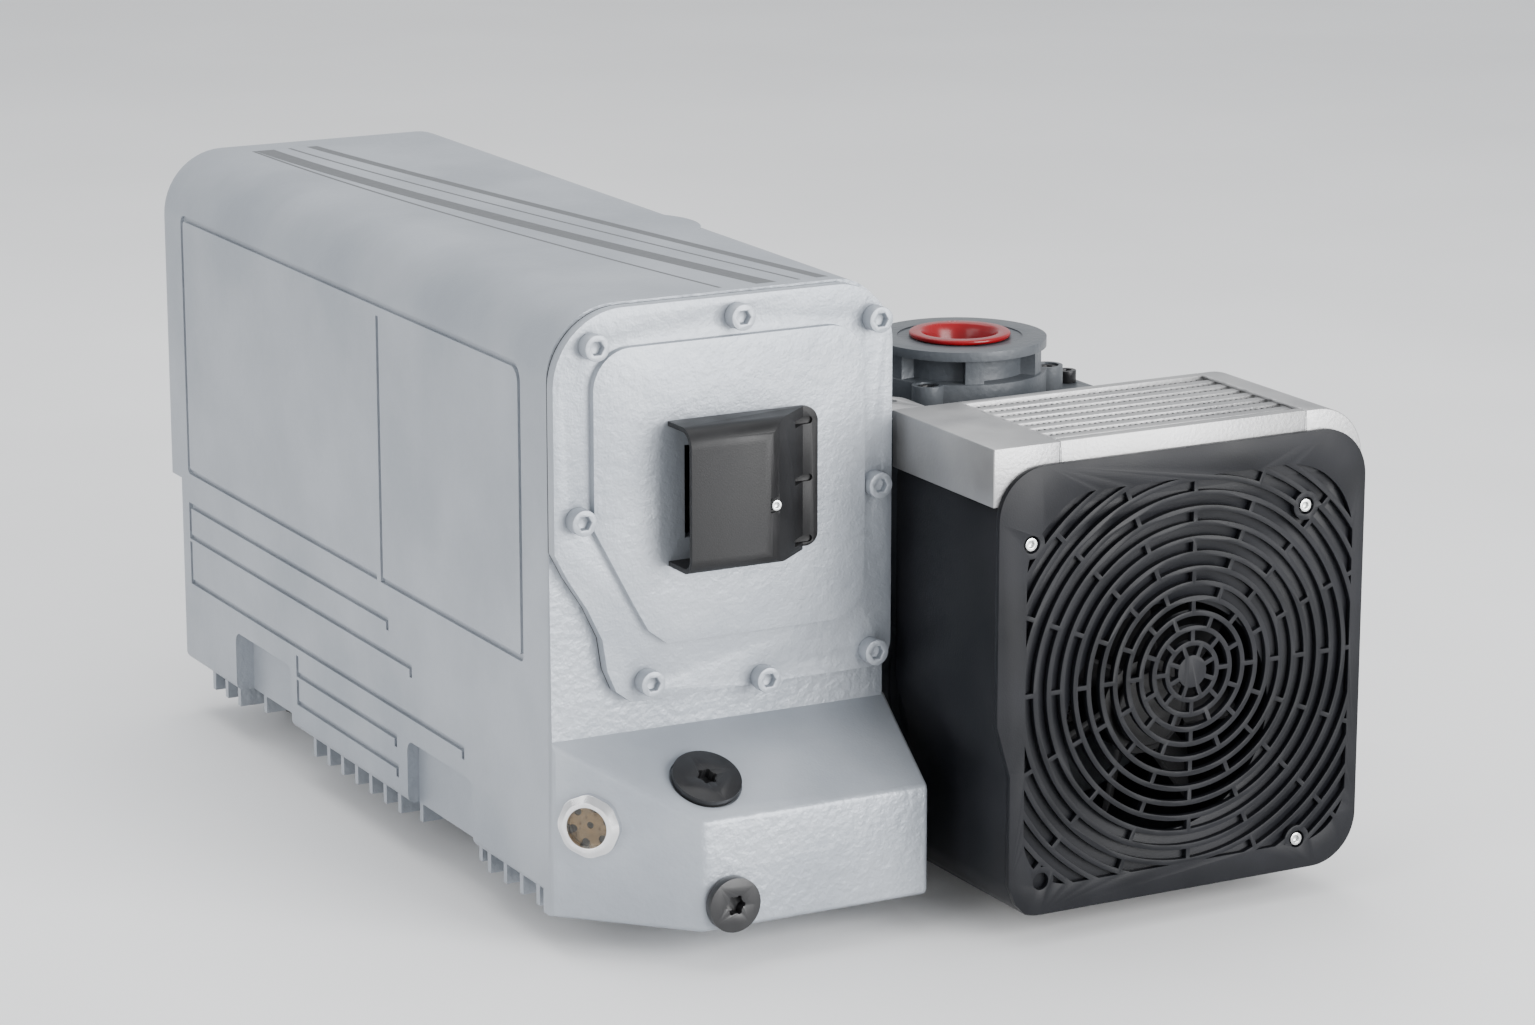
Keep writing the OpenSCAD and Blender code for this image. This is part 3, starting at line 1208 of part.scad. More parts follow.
translate(home) {
  oil_casing();
  casing_cover();
  cover_gasket();
  cover_screws();
  exhaust_hood();
  hood_screw();
  filter_plate();
  exhaust_filters();
  filter_clips();
  sight_glass_ring();
  sight_glass_lens();
  sight_glass_reflector();
  fill_plug();
  fill_plug_seal();
  drain_plug();
  drain_plug_seal();
  float_bracket();
  float_arm();
  rubber_feet();
  foot_studs();
  pump_cylinder();
  front_end_plate();
  rear_end_plate();
  end_plate_screws();
  bearings();
  shaft_seals();
  rotor();
  vane_1();
  vane_2();
  vane_3();
  exhaust_leaf();
  leaf_stop();
  fan_impeller();
  fan_shroud();
  fan_grille();
  grille_screws();
  cooler_core();
  cooler_tanks();
  cooler_fins();
  cooler_lug();
  inlet_flange();
  flange_screws();
  inlet_strainer();
  check_disc();
  check_spring();
  inlet_cap();
  oil_filter_head();
  oil_filter_cartridge();
  oil_pipes();
  coupling_housing();
  pump_coupling_hub();
  coupling_spider();
  motor_coupling_hub();
  motor_frame();
  motor_stator();
  motor_rotor();
  motor_fan();
  motor_cowl();
  terminal_box();
  motor_bolts();
}
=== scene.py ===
# %% [markdown]
# This lesson dresses a rotary vane vacuum pump: a silver oil casing on the left, a dark fan shroud
# with a ring grille on the right, an oil cooler on top of it and a finned motor behind.
# The measured model comes in as a fixed frame. Everything made here rides on one of its bodies,
# so that the pump still turns, opens and comes apart as the frame says.

# %% Load the frame
import json
import math

import bpy
from mathutils import Euler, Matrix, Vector

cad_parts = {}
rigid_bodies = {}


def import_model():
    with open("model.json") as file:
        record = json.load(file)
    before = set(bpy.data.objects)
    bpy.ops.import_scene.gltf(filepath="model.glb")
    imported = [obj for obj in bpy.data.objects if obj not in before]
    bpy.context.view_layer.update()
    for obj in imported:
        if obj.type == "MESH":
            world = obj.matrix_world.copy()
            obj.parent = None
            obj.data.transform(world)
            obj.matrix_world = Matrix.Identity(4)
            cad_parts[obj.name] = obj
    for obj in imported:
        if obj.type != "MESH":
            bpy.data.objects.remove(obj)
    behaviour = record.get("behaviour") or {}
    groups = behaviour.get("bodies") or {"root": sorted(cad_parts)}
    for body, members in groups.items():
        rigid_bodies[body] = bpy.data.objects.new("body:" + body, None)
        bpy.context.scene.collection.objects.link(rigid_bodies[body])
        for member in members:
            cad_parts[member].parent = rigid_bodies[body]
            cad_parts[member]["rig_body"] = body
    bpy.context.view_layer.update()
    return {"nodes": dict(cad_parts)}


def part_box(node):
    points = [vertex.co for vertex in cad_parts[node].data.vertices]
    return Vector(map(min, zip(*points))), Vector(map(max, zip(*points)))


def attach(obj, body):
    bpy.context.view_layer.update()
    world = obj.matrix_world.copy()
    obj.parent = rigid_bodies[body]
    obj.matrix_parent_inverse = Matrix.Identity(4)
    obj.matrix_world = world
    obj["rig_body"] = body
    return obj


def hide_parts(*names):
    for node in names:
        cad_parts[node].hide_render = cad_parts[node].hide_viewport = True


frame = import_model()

nodes = frame["nodes"]

# %% [markdown]
# Sizes on the pump are easiest to read from one corner of it: the casing's front left edge at the
# tips of its bottom fins. The casing gives the left side and the underside, and the cover's gasket
# lies on the front wall. A helper turns millimetres from that corner into a place in the scene.

# %% Measuring corner
MM = 0.001
casing_low, casing_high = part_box("oil_casing")
front_wall_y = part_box("cover_gasket")[1].y
corner = Vector((casing_low.x, front_wall_y, casing_low.z))


def place(x, y, z):
    return corner + Vector((x, y, z)) * MM


print("measuring corner:", [round(v, 4) for v in corner])

# %% [markdown]
# The camera stands well back with a long lens, as for a catalogue picture, so that the pump's long
# edges run almost parallel. A long lens from afar was chosen over a short one from near, because
# a short lens would make the near grille look too large for the casing.

# %% Camera
camera_data = bpy.data.cameras.new("studio_camera")
camera_data.sensor_width = 36
camera_data.lens = 108.48
camera_data.clip_end = 100
camera = bpy.data.objects.new("studio_camera", camera_data)
bpy.context.scene.collection.objects.link(camera)
camera.location = place(-1138.7, -2400, 917)
camera.rotation_euler = Euler((math.radians(90 - 14.06), 0, math.radians(-28.19)))
bpy.context.scene.camera = camera
print("camera at", [round(v, 3) for v in camera.location])

# %% [markdown]
# A material is a small network. Three short helpers keep the recipes readable: one starts a
# material, one adds a node with its settings, and one joins two sockets.

# %% Node helpers
def start_material(name):
    material = bpy.data.materials.new(name)
    material.use_nodes = True
    return material, material.node_tree.nodes["Principled BSDF"]


def add_node(material, kind, values=None, **settings):
    node = material.node_tree.nodes.new(kind)
    for key, value in settings.items():
        setattr(node, key, value)
    for socket, value in (values or {}).items():
        node.inputs[socket].default_value = value
    return node


def join(material, output, target):
    material.node_tree.links.new(output, target)


# %% [markdown]
# Most numbers in a network come from arithmetic, so one helper adds a math node and feeds it with
# sockets or plain numbers. Another gives a band of noise on the object's own coordinates, with its
# grain stated as a size in metres.

# %% Arithmetic and noise
def maths(material, operation, *terms, clamp=False):
    node = add_node(material, "ShaderNodeMath", operation=operation, use_clamp=clamp)
    for socket, term in zip(node.inputs, terms):
        if isinstance(term, (int, float)):
            socket.default_value = term
        else:
            join(material, term, socket)
    return node.outputs[0]


def object_coordinates(material):
    return add_node(material, "ShaderNodeTexCoord").outputs["Object"]


def noise(material, grain, detail=3.0, stretch=(1, 1, 1)):
    mapping = add_node(material, "ShaderNodeMapping", {"Scale": stretch})
    join(material, object_coordinates(material), mapping.inputs["Vector"])
    texture = add_node(material, "ShaderNodeTexNoise", {"Scale": 1 / grain, "Detail": detail})
    join(material, mapping.outputs["Vector"], texture.inputs["Vector"])
    return texture.outputs["Fac"]


# %% [markdown]
# Paint, plastic and metal all share three things: a colour that wanders a little, a gloss that
# wanders with it, and a fine relief. One recipe does this for every finish, and each finish only
# says how far its tones lie apart, how rough it is and how coarse its relief is.

# %% The shared recipe
def tint(material, shader, dark, light, grain):
    mix = add_node(material, "ShaderNodeMix", {6: (*dark, 1), 7: (*light, 1)}, data_type="RGBA")
    spread = add_node(material, "ShaderNodeMapRange", {"From Min": 0.35, "From Max": 0.65})
    join(material, noise(material, grain, 6.0), spread.inputs["Value"])
    join(material, spread.outputs["Result"], mix.inputs["Factor"])
    join(material, mix.outputs[2], shader.inputs["Base Color"])
    return spread.outputs["Result"]


def roughen(material, shader, wander, low, high):
    gloss = add_node(material, "ShaderNodeMapRange", {"To Min": low, "To Max": high})
    join(material, wander, gloss.inputs["Value"])
    join(material, gloss.outputs["Result"], shader.inputs["Roughness"])


def emboss(material, shader, height, strength, depth):
    bump = add_node(material, "ShaderNodeBump", {"Strength": strength, "Distance": depth})
    join(material, height, bump.inputs["Height"])
    if shader.inputs["Normal"].links:
        join(material, shader.inputs["Normal"].links[0].from_socket, bump.inputs["Normal"])
    join(material, bump.outputs["Normal"], shader.inputs["Normal"])


def finish(name, dark, light, rough, mottle, relief, strength, metal=0.0, stretch=(1, 1, 1), shine=0.5):
    material, shader = start_material(name)
    shader.inputs["Metallic"].default_value = metal
    shader.inputs["Specular IOR Level"].default_value = shine
    wander = tint(material, shader, dark, light, mottle)
    roughen(material, shader, wander, *rough)
    emboss(material, shader, noise(material, relief, 3.0, stretch), strength, relief * 0.25)
    return material


# %% [markdown]
# The casing is sand cast and sprayed silver. Its front wall and nose are coarse and hammered, its
# sides are smoother with a soft waviness, and the paint holds a little metal flake. The relief is
# made stronger where the surface looks forwards, by reading the surface's own direction.

# %% Silver casing paint
SILVER_DARK = (0.29, 0.315, 0.35)
SILVER_LIGHT = (0.36, 0.385, 0.42)


def facing(material, axis, sign, low, high):
    direction = add_node(material, "ShaderNodeSeparateXYZ")
    join(material, add_node(material, "ShaderNodeTexCoord").outputs["Normal"], direction.inputs[0])
    share = add_node(material, "ShaderNodeMapRange", {"From Min": low, "From Max": high})
    join(material, maths(material, "MULTIPLY", direction.outputs[axis], sign), share.inputs["Value"])
    return share.outputs["Result"]


def silver_paint(name, hammered, fine):
    material, shader = start_material(name)
    shader.inputs["Metallic"].default_value = 0.35
    shader.inputs["Coat Weight"].default_value = 0.12
    shader.inputs["Coat Roughness"].default_value = 0.3
    tint(material, shader, SILVER_DARK, SILVER_LIGHT, 0.09)
    roughen(material, shader, noise(material, 0.004), 0.36, 0.5)
    front = facing(material, "Y", -1.0, 0.5, 0.9)
    coarse = maths(material, "MULTIPLY", noise(material, 0.0055, 2.0), front)
    emboss(material, shader, coarse, hammered, 0.0016)
    emboss(material, shader, noise(material, 0.0016, 2.0), fine, 0.0004)
    emboss(material, shader, noise(material, 0.035, 2.0), 0.25, 0.002)
    return material


print("silver tones:", SILVER_DARK, SILVER_LIGHT)

# %% [markdown]
# A fan of grey stripes is sprayed on the casing's top. Each stripe is a curve across the top: its
# place across the casing grows with a power of the way forwards. The painted width is compared
# with the distance from that curve, which gives a clean edge at any size of picture.

# %% Stripes on the casing's top
STRIPE_GREY = (0.085, 0.092, 0.10)
CASING_LENGTH = (casing_high.y - front_wall_y) / MM
STRIPES = [  # place at the rear, sweep to the front, power of the curve, half width (mm)
    (58, 64, 1.7, 1.3), (66, 88, 1.5, 7.0), (84, 92, 1.3, 1.3), (100, 92, 1.15, 4.2)]


def stripe_mask(material, across, ahead, stripe):
    start, sweep, power, half = stripe
    curve = maths(material, "MULTIPLY_ADD", maths(material, "POWER", ahead, power), sweep, start)
    away = maths(material, "ABSOLUTE", maths(material, "SUBTRACT", across, curve))
    return maths(material, "LESS_THAN", away, half)


def spray_stripes(material):
    split = add_node(material, "ShaderNodeSeparateXYZ")
    join(material, object_coordinates(material), split.inputs[0])
    across = maths(material, "SUBTRACT", split.outputs["X"], corner.x)
    across = maths(material, "MULTIPLY", across, 1 / MM)
    back = maths(material, "SUBTRACT", split.outputs["Y"], corner.y)
    back = maths(material, "DIVIDE", back, CASING_LENGTH * MM)
    ahead = maths(material, "SUBTRACT", 1.0, back, clamp=True)
    mask = 0.0
    for stripe in STRIPES:
        mask = maths(material, "MAXIMUM", mask, stripe_mask(material, across, ahead, stripe))
    mask = maths(material, "MULTIPLY", mask, facing(material, "Z", 1.0, 0.93, 0.97))
    on_top = maths(material, "GREATER_THAN", split.outputs["Z"], casing_high.z - 0.006)
    mask = maths(material, "MULTIPLY", mask, on_top)
    mask = maths(material, "MULTIPLY", mask, maths(material, "LESS_THAN", back, 0.96))
    mask = maths(material, "MULTIPLY", mask, maths(material, "GREATER_THAN", back, 0.015))
    return mask


def striped_silver(name):
    material = silver_paint(name, 0.55, 0.3)
    shader = material.node_tree.nodes["Principled BSDF"]
    plain = shader.inputs["Base Color"].links[0].from_socket
    mix = add_node(material, "ShaderNodeMix", {7: (*STRIPE_GREY, 1)}, data_type="RGBA")
    join(material, spray_stripes(material), mix.inputs["Factor"])
    join(material, plain, mix.inputs[6])
    join(material, mix.outputs[2], shader.inputs["Base Color"])
    return material


paint_casing = striped_silver("casing_silver_striped")
paint_cover = silver_paint("cover_silver", 0.3, 0.45)
paint_screw = silver_paint("screw_silver", 0.1, 0.2)
print("stripes:", len(STRIPES))

# %% [markdown]
# The other finishes come from the shared recipe: black and charcoal plastics with a fine spark
# grain, dark machine paint, raw aluminium that was brazed, zinc and black steel, rubber, brass,
# copper and the glossy red of the port's cap.

# %% Plastics and rubber
black_plastic = finish("black_plastic", (0.007, 0.007, 0.0075), (0.013, 0.013, 0.014), (0.42, 0.56),
    0.03, 0.0009, 0.35, shine=0.3)
charcoal_plastic = finish("charcoal_plastic", (0.004, 0.0045, 0.006), (0.009, 0.0095, 0.012),
    (0.36, 0.5), 0.06, 0.0011, 0.25, shine=0.18)
plug_plastic = finish("plug_black", (0.008, 0.008, 0.009), (0.014, 0.014, 0.015), (0.28, 0.4),
    0.02, 0.0008, 0.2)
red_plastic = finish("cap_red", (0.19, 0.001, 0.004), (0.25, 0.003, 0.007), (0.18, 0.28),
    0.02, 0.004, 0.06, shine=0.35)
rubber = finish("black_rubber", (0.014, 0.014, 0.014), (0.028, 0.028, 0.027), (0.68, 0.85),
    0.015, 0.0012, 0.5)
spider_yellow = finish("spider_yellow", (0.50, 0.30, 0.03), (0.62, 0.40, 0.05), (0.4, 0.55),
    0.02, 0.001, 0.2)
disc_black = finish("disc_black", (0.02, 0.02, 0.02), (0.04, 0.04, 0.04), (0.45, 0.6), 0.02, 0.001, 0.3)
fibre_brown = finish("pressed_fibre", (0.09, 0.05, 0.03), (0.17, 0.10, 0.06), (0.5, 0.7),
    0.01, 0.0012, 0.6, stretch=(1, 0.08, 1))
print("plastics:", black_plastic.name, charcoal_plastic.name, red_plastic.name)

# %% Paints and metals
machine_paint = finish("machine_grey", (0.07, 0.078, 0.088), (0.105, 0.113, 0.123), (0.34, 0.5),
    0.04, 0.0035, 0.4, metal=0.1, shine=0.3)
motor_paint = finish("motor_grey", (0.12, 0.135, 0.15), (0.16, 0.175, 0.19), (0.36, 0.5),
    0.05, 0.004, 0.3, metal=0.1)
can_paint = finish("filter_can_black", (0.015, 0.017, 0.02), (0.028, 0.03, 0.034), (0.2, 0.3),
    0.05, 0.006, 0.1)
raw_aluminium = finish("raw_aluminium", (0.33, 0.33, 0.335), (0.40, 0.40, 0.40), (0.36, 0.48),
    0.05, 0.0022, 0.35, metal=0.75)
fin_aluminium = finish("fin_aluminium", (0.10, 0.10, 0.105), (0.24, 0.24, 0.24), (0.4, 0.6),
    0.008, 0.001, 0.4, metal=0.6)
bright_aluminium = finish("turned_aluminium", (0.72, 0.72, 0.73), (0.82, 0.82, 0.83), (0.14, 0.26),
    0.01, 0.0009, 0.15, metal=1.0)
zinc = finish("zinc_steel", (0.55, 0.56, 0.56), (0.70, 0.71, 0.70), (0.2, 0.36),
    0.006, 0.001, 0.25, metal=0.95)
black_steel = finish("black_steel", (0.018, 0.018, 0.02), (0.035, 0.035, 0.036), (0.32, 0.5),
    0.01, 0.001, 0.3, metal=0.5)
ground_steel = finish("ground_steel", (0.42, 0.42, 0.43), (0.55, 0.55, 0.56), (0.2, 0.34),
    0.02, 0.0012, 0.3, metal=1.0, stretch=(1, 8, 1))
sheet_steel = finish("sheet_steel", (0.42, 0.43, 0.45), (0.54, 0.55, 0.57), (0.26, 0.4),
    0.03, 0.0015, 0.2, metal=0.95)
cast_iron = finish("cast_iron", (0.10, 0.10, 0.105), (0.18, 0.18, 0.185), (0.5, 0.68),
    0.015, 0.0022, 0.6, metal=0.6)
brass = finish("brass", (0.55, 0.38, 0.14), (0.68, 0.50, 0.20), (0.22, 0.38),
    0.02, 0.002, 0.15, metal=1.0)
copper = finish("copper", (0.55, 0.26, 0.15), (0.68, 0.35, 0.22), (0.25, 0.42),
    0.01, 0.001, 0.2, metal=1.0)
winding = finish("varnished_winding", (0.20, 0.08, 0.03), (0.38, 0.17, 0.06), (0.25, 0.4),
    0.006, 0.0012, 0.7, metal=0.4, stretch=(1, 0.1, 1))
filter_cloth = finish("filter_cloth", (0.55, 0.50, 0.40), (0.72, 0.68, 0.58), (0.8, 0.95),
    0.012, 0.0011, 0.8)
reflector_brown = finish("reflector_brown", (0.16, 0.11, 0.06), (0.30, 0.22, 0.13), (0.25, 0.4),
    0.006, 0.002, 0.2, metal=0.3)
print("metals:", raw_aluminium.name, zinc.name, cast_iron.name)

# %% [markdown]
# The sight glass's lens is real glass with a faint brown tinge from the oil behind it.

# %% Glass
glass, glass_shader = start_material("sight_glass")
glass_shader.inputs["Transmission Weight"].default_value = 1.0
glass_shader.inputs["IOR"].default_value = 1.47
tint(glass, glass_shader, (0.78, 0.70, 0.56), (0.90, 0.85, 0.74), 0.01)
roughen(glass, glass_shader, noise(glass, 0.006), 0.01, 0.06)
print("glass:", glass.name)

# %% [markdown]
# Nothing on a casting or a moulding has a knife edge. A CAD node's copy gets its loose triangles
# merged, its flat faces joined, and every sharp edge rounded by a bevel. A bevel that reads edge
# weights was chosen, because then a broad nose edge and a fine groove can share one modifier.

# %% Copying and rounding a CAD node
def only(piece):
    if bpy.context.mode != "OBJECT":
        bpy.ops.object.mode_set(mode="OBJECT")
    bpy.ops.object.select_all(action="DESELECT")
    piece.select_set(True)
    bpy.context.view_layer.objects.active = piece


def body_of(node):
    return nodes[node]["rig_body"]


def copy_of(node):
    source = nodes[node]
    only(source)
    bpy.ops.object.duplicate()
    piece = bpy.context.view_layer.objects.active
    bpy.ops.object.parent_clear(type="CLEAR_KEEP_TRANSFORM")
    for key in list(piece.keys()):
        del piece[key]
    piece.name = node + "_dressed"
    piece.data.materials.clear()
    return piece


def merge(piece):
    only(piece)
    bpy.ops.object.mode_set(mode="EDIT")
    bpy.ops.mesh.select_all(action="SELECT")
    bpy.ops.mesh.remove_doubles(threshold=1e-6)
    bpy.ops.mesh.customdata_custom_splitnormals_clear()
    bpy.ops.mesh.select_all(action="SELECT")
    bpy.ops.mesh.dissolve_limited(angle_limit=math.radians(0.6))
    bpy.ops.mesh.select_all(action="DESELECT")
    bpy.ops.object.mode_set(mode="OBJECT")


# %% Rounding by edge weight
SHARP = math.radians(32)


def weigh_edges(piece, weight, wanted=None):
    only(piece)
    bpy.ops.object.mode_set(mode="EDIT")
    bpy.ops.mesh.select_mode(type="EDGE")
    bpy.ops.mesh.select_all(action="SELECT")
    bpy.ops.transform.edge_bevelweight(value=-1.0)
    bpy.ops.mesh.select_all(action="DESELECT")
    bpy.ops.mesh.edges_select_sharp(sharpness=SHARP)
    bpy.ops.object.mode_set(mode="OBJECT")
    if wanted:
        points = piece.data.vertices
        chosen = [edge.index for edge in piece.data.edges if edge.select
                  and wanted((points[edge.vertices[0]].co + points[edge.vertices[1]].co) / 2)]
        for part in (piece.data.vertices, piece.data.edges, piece.data.polygons):
            part.foreach_set("select", [False] * len(part))
        for index in chosen:
            piece.data.edges[index].select = True
    bpy.ops.object.mode_set(mode="EDIT")
    bpy.ops.transform.edge_bevelweight(value=weight)
    bpy.ops.mesh.select_mode(type="VERT")
    bpy.ops.object.mode_set(mode="OBJECT")


def bevel(piece, width, segments=2, clamp=True):
    only(piece)
    modifier = piece.modifiers.new("edges", "BEVEL")
    modifier.limit_method = "WEIGHT"
    modifier.width = width
    modifier.segments = segments
    modifier.use_clamp_overlap = clamp
    modifier.loop_slide = False
    bpy.ops.object.modifier_apply(modifier=modifier.name)
    bpy.ops.object.shade_smooth_by_angle(angle=math.radians(40))


def dress(node, material, width, segments=2):
    piece = copy_of(node)
    merge(piece)
    weigh_edges(piece, 1.0)
    bevel(piece, width, segments)
    piece.data.materials.append(material)
    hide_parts(node)
    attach(piece, body_of(node))
    print(piece.name, "faces:", len(piece.data.polygons))
    return piece


def coat(node, material):
    nodes[node].data.materials.clear()
    nodes[node].data.materials.append(material)


# %% [markdown]
# The pump's own machinery keeps the frame's shapes, because turned and ground parts really are
# that plain. Each only needs its finish. A table pairs every such node with one.

# %% Finishes for the machined parts
PLAIN_PARTS = {
    rubber: ["cover_gasket", "fill_plug_seal", "shaft_seals"],
    sheet_steel: ["filter_plate", "filter_clips", "leaf_stop", "exhaust_leaf", "float_bracket"],
    filter_cloth: ["exhaust_filters"],
    ground_steel: ["bearings", "rotor", "motor_rotor"],
    fibre_brown: ["vane_1", "vane_2", "vane_3"],
    zinc: ["foot_studs", "check_spring", "inlet_strainer", "oil_pipes"],
    winding: ["motor_stator"],
    brass: ["float_arm"],
    copper: ["drain_plug_seal"],
    disc_black: ["check_disc"],
    fin_aluminium: ["cooler_fins"],
    glass: ["sight_glass_lens"],
    reflector_brown: ["sight_glass_reflector"],
    spider_yellow: ["coupling_spider"],
}
for material, names in PLAIN_PARTS.items():
    for name in names:
        coat(name, material)
print("plain parts:", sum(len(names) for names in PLAIN_PARTS.values()))

# %% [markdown]
# The visible castings and mouldings are dressed: a bevel of the right size for how each was made,
# then its finish. Sand castings are rounded by a millimetre or two, screws by a few tenths.

# %% Rounded parts
DRESSED_PARTS = [  # node, finish, bevel width in metres, segments
    ("casing_cover", paint_cover, 0.0016, 3), ("cover_screws", paint_screw, 0.0007, 2),
    ("exhaust_hood", black_plastic, 0.0006, 2), ("hood_screw", zinc, 0.0003, 2),
    ("fill_plug", plug_plastic, 0.0006, 2), ("drain_plug", plug_plastic, 0.0006, 2),
    ("fan_shroud", charcoal_plastic, 0.0015, 2), ("fan_grille", charcoal_plastic, 0.0008, 2),
    ("grille_screws", zinc, 0.0003, 2), ("cooler_core", raw_aluminium, 0.0005, 2),
    ("cooler_tanks", raw_aluminium, 0.0012, 3), ("cooler_lug", raw_aluminium, 0.0008, 2),
    ("inlet_flange", machine_paint, 0.0012, 3), ("flange_screws", black_steel, 0.0005, 2),
    ("oil_filter_head", machine_paint, 0.0015, 2), ("oil_filter_cartridge", can_paint, 0.003, 3),
    ("coupling_housing", machine_paint, 0.002, 2), ("pump_cylinder", machine_paint, 0.0015, 2),
    ("front_end_plate", machine_paint, 0.0015, 2), ("rear_end_plate", machine_paint, 0.0015, 2),
    ("end_plate_screws", black_steel, 0.0005, 2), ("fan_impeller", black_plastic, 0.0004, 2),
    ("motor_frame", motor_paint, 0.0006, 2), ("motor_cowl", motor_paint, 0.0008, 2),
    ("terminal_box", motor_paint, 0.0025, 3), ("motor_bolts", black_steel, 0.0006, 2),
    ("motor_fan", black_plastic, 0.0004, 2), ("pump_coupling_hub", cast_iron, 0.001, 2),
    ("motor_coupling_hub", cast_iron, 0.001, 2), ("rubber_feet", rubber, 0.0015, 3)]
for node, material, width, segments in DRESSED_PARTS:
    dress(node, material, width, segments)

# %% [markdown]
# The casing needs two bevels in one. The nose and the front wall's free edges are broadly rounded,
# as a pattern maker draws them, while the engraved lines and holes keep small edges. An edge lies
# on the nose's outside when it lies on two of its outer planes, so each plane is written down
# as a direction and a distance.

# %% Casing
NOSE_REACH = 69.7
SLANT = math.atan2(NOSE_REACH, 67)
LEDGE = math.atan2(109 - 70, NOSE_REACH)
BROAD = 0.0034
FINE = 0.00035
NOSE_PLANES = [  # outward direction, distance from the measuring corner (mm)
    (Vector((0, -1, 0)), NOSE_REACH), (Vector((-math.sin(SLANT), -math.cos(SLANT), 0)), 0.0),
    (Vector((0, 0, -1)), 0.0), (Vector((0, -math.sin(LEDGE), math.cos(LEDGE))), 109 * math.cos(LEDGE)),
    (Vector((NOSE_REACH, -9, 0)).normalized(), 231 * NOSE_REACH / math.hypot(NOSE_REACH, 9))]


def on_nose_edge(point):
    spot = (point - corner) / MM
    touching = [abs(normal.dot(spot) - distance) < 0.3 for normal, distance in NOSE_PLANES]
    front_edge = abs(spot.x) < 0.3 and abs(spot.y) < 0.3 and spot.z < 200
    return (spot.y < -0.5 and sum(touching) > 1) or front_edge


def on_outside(point):
    spot = (point - corner) / MM
    side = spot.x < 14 or spot.x > 224
    return side or spot.y < 1 or spot.y > 596 or spot.z < 1 or spot.z > 374


casing = copy_of("oil_casing")
merge(casing)
weigh_edges(casing, 1.0, on_nose_edge)
bevel(casing, BROAD, 3, clamp=False)
weigh_edges(casing, 1.0, lambda point: on_outside(point) and not on_nose_edge(point))
bevel(casing, FINE, 2)
casing.data.materials.append(paint_casing)
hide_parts("oil_casing")
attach(casing, "frame")
print(casing.name, "faces:", len(casing.data.polygons))

# %% [markdown]
# The inlet's cap is a soft red cup pressed into the port: a rounded rim, a deep recess for the
# fingers and a plug below. A cylinder becomes all three by insets and extrusions of its two ends.

# %% Inlet cap
cap_low, cap_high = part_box("inlet_cap")
cap_middle = (cap_low + cap_high) / 2
CAP_RIM = 0.0324
CAP_LIP = 0.0032


def faces_towards(piece, direction, height, near=1e-5):
    only(piece)
    bpy.ops.object.mode_set(mode="EDIT")
    bpy.ops.mesh.select_mode(type="FACE")
    bpy.ops.mesh.select_all(action="DESELECT")
    bpy.ops.object.mode_set(mode="OBJECT")
    for face in piece.data.polygons:
        level = face.center.dot(direction)
        face.select = face.normal.dot(direction) > 0.99 and abs(level - height) < near
    bpy.ops.object.mode_set(mode="EDIT")


def lift(offset, shrink=1.0, centre=None):
    bpy.ops.mesh.extrude_region_move(TRANSFORM_OT_translate={"value": offset})
    if shrink != 1.0:
        bpy.ops.transform.resize(value=(shrink, shrink, 1), center_override=centre)


bpy.ops.object.select_all(action="DESELECT")
bpy.ops.mesh.primitive_cylinder_add(vertices=96, radius=CAP_RIM, depth=CAP_LIP,
                                    location=(cap_middle.x, cap_middle.y, cap_high.z - CAP_LIP / 2))
cap = bpy.context.view_layer.objects.active
cap.name = "inlet_cap_dressed"
bpy.ops.object.transform_apply(location=True, rotation=True, scale=True)
UP = Vector((0, 0, 1))
faces_towards(cap, UP, cap_high.z)
bpy.ops.mesh.inset(thickness=0.0075)
lift((0, 0, -0.0045), 0.90, cap_middle)
lift((0, 0, -0.0065), 0.94, cap_middle)
faces_towards(cap, -UP, -(cap_high.z - CAP_LIP))
bpy.ops.mesh.inset(thickness=CAP_RIM - 0.0281)
lift((0, 0, cap_low.z - (cap_high.z - CAP_LIP)))
bpy.ops.object.mode_set(mode="OBJECT")
weigh_edges(cap, 1.0)
bevel(cap, 0.0013, 4)
cap.data.materials.append(red_plastic)
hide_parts("inlet_cap")
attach(cap, body_of("inlet_cap"))
print(cap.name, "faces:", len(cap.data.polygons))

# %% [markdown]
# The sight glass sits in a turned nut with eight flats and a bright cone on its front. An eight-
# sided cylinder is bevelled along its flats, its front is inset and pushed out to make the cone,
# and a round hole is cut through last, because an inset alone would leave an eight-sided hole.

# %% Sight glass ring
GLASS_RADIUS = 0.0206
GLASS_HOLE = 0.0128
ring_face = place(25.5 * math.cos(SLANT), -25.5 * math.sin(SLANT), 61.5)
bpy.ops.object.select_all(action="DESELECT")
bpy.ops.mesh.primitive_cylinder_add(vertices=8, radius=GLASS_RADIUS, depth=0.0045,
                                    location=(0, 0, 0.00225))
ring = bpy.context.view_layer.objects.active
ring.name = "sight_glass_ring_dressed"
bpy.ops.object.transform_apply(location=True, rotation=True, scale=True)
only(ring)
bpy.ops.object.mode_set(mode="EDIT")
bpy.ops.mesh.select_mode(type="EDGE")
bpy.ops.mesh.select_all(action="DESELECT")
bpy.ops.object.mode_set(mode="OBJECT")
for edge in ring.data.edges:
    a, b = (ring.data.vertices[v].co for v in edge.vertices)
    edge.select = abs(a.z - b.z) > 0.001
bpy.ops.object.mode_set(mode="EDIT")
bpy.ops.mesh.bevel(offset=0.0042, segments=5)
faces_towards(ring, UP, 0.0045)
bpy.ops.mesh.inset(thickness=0.0001)
lift((0, 0, 0.0033), 0.80, (0, 0, 0))
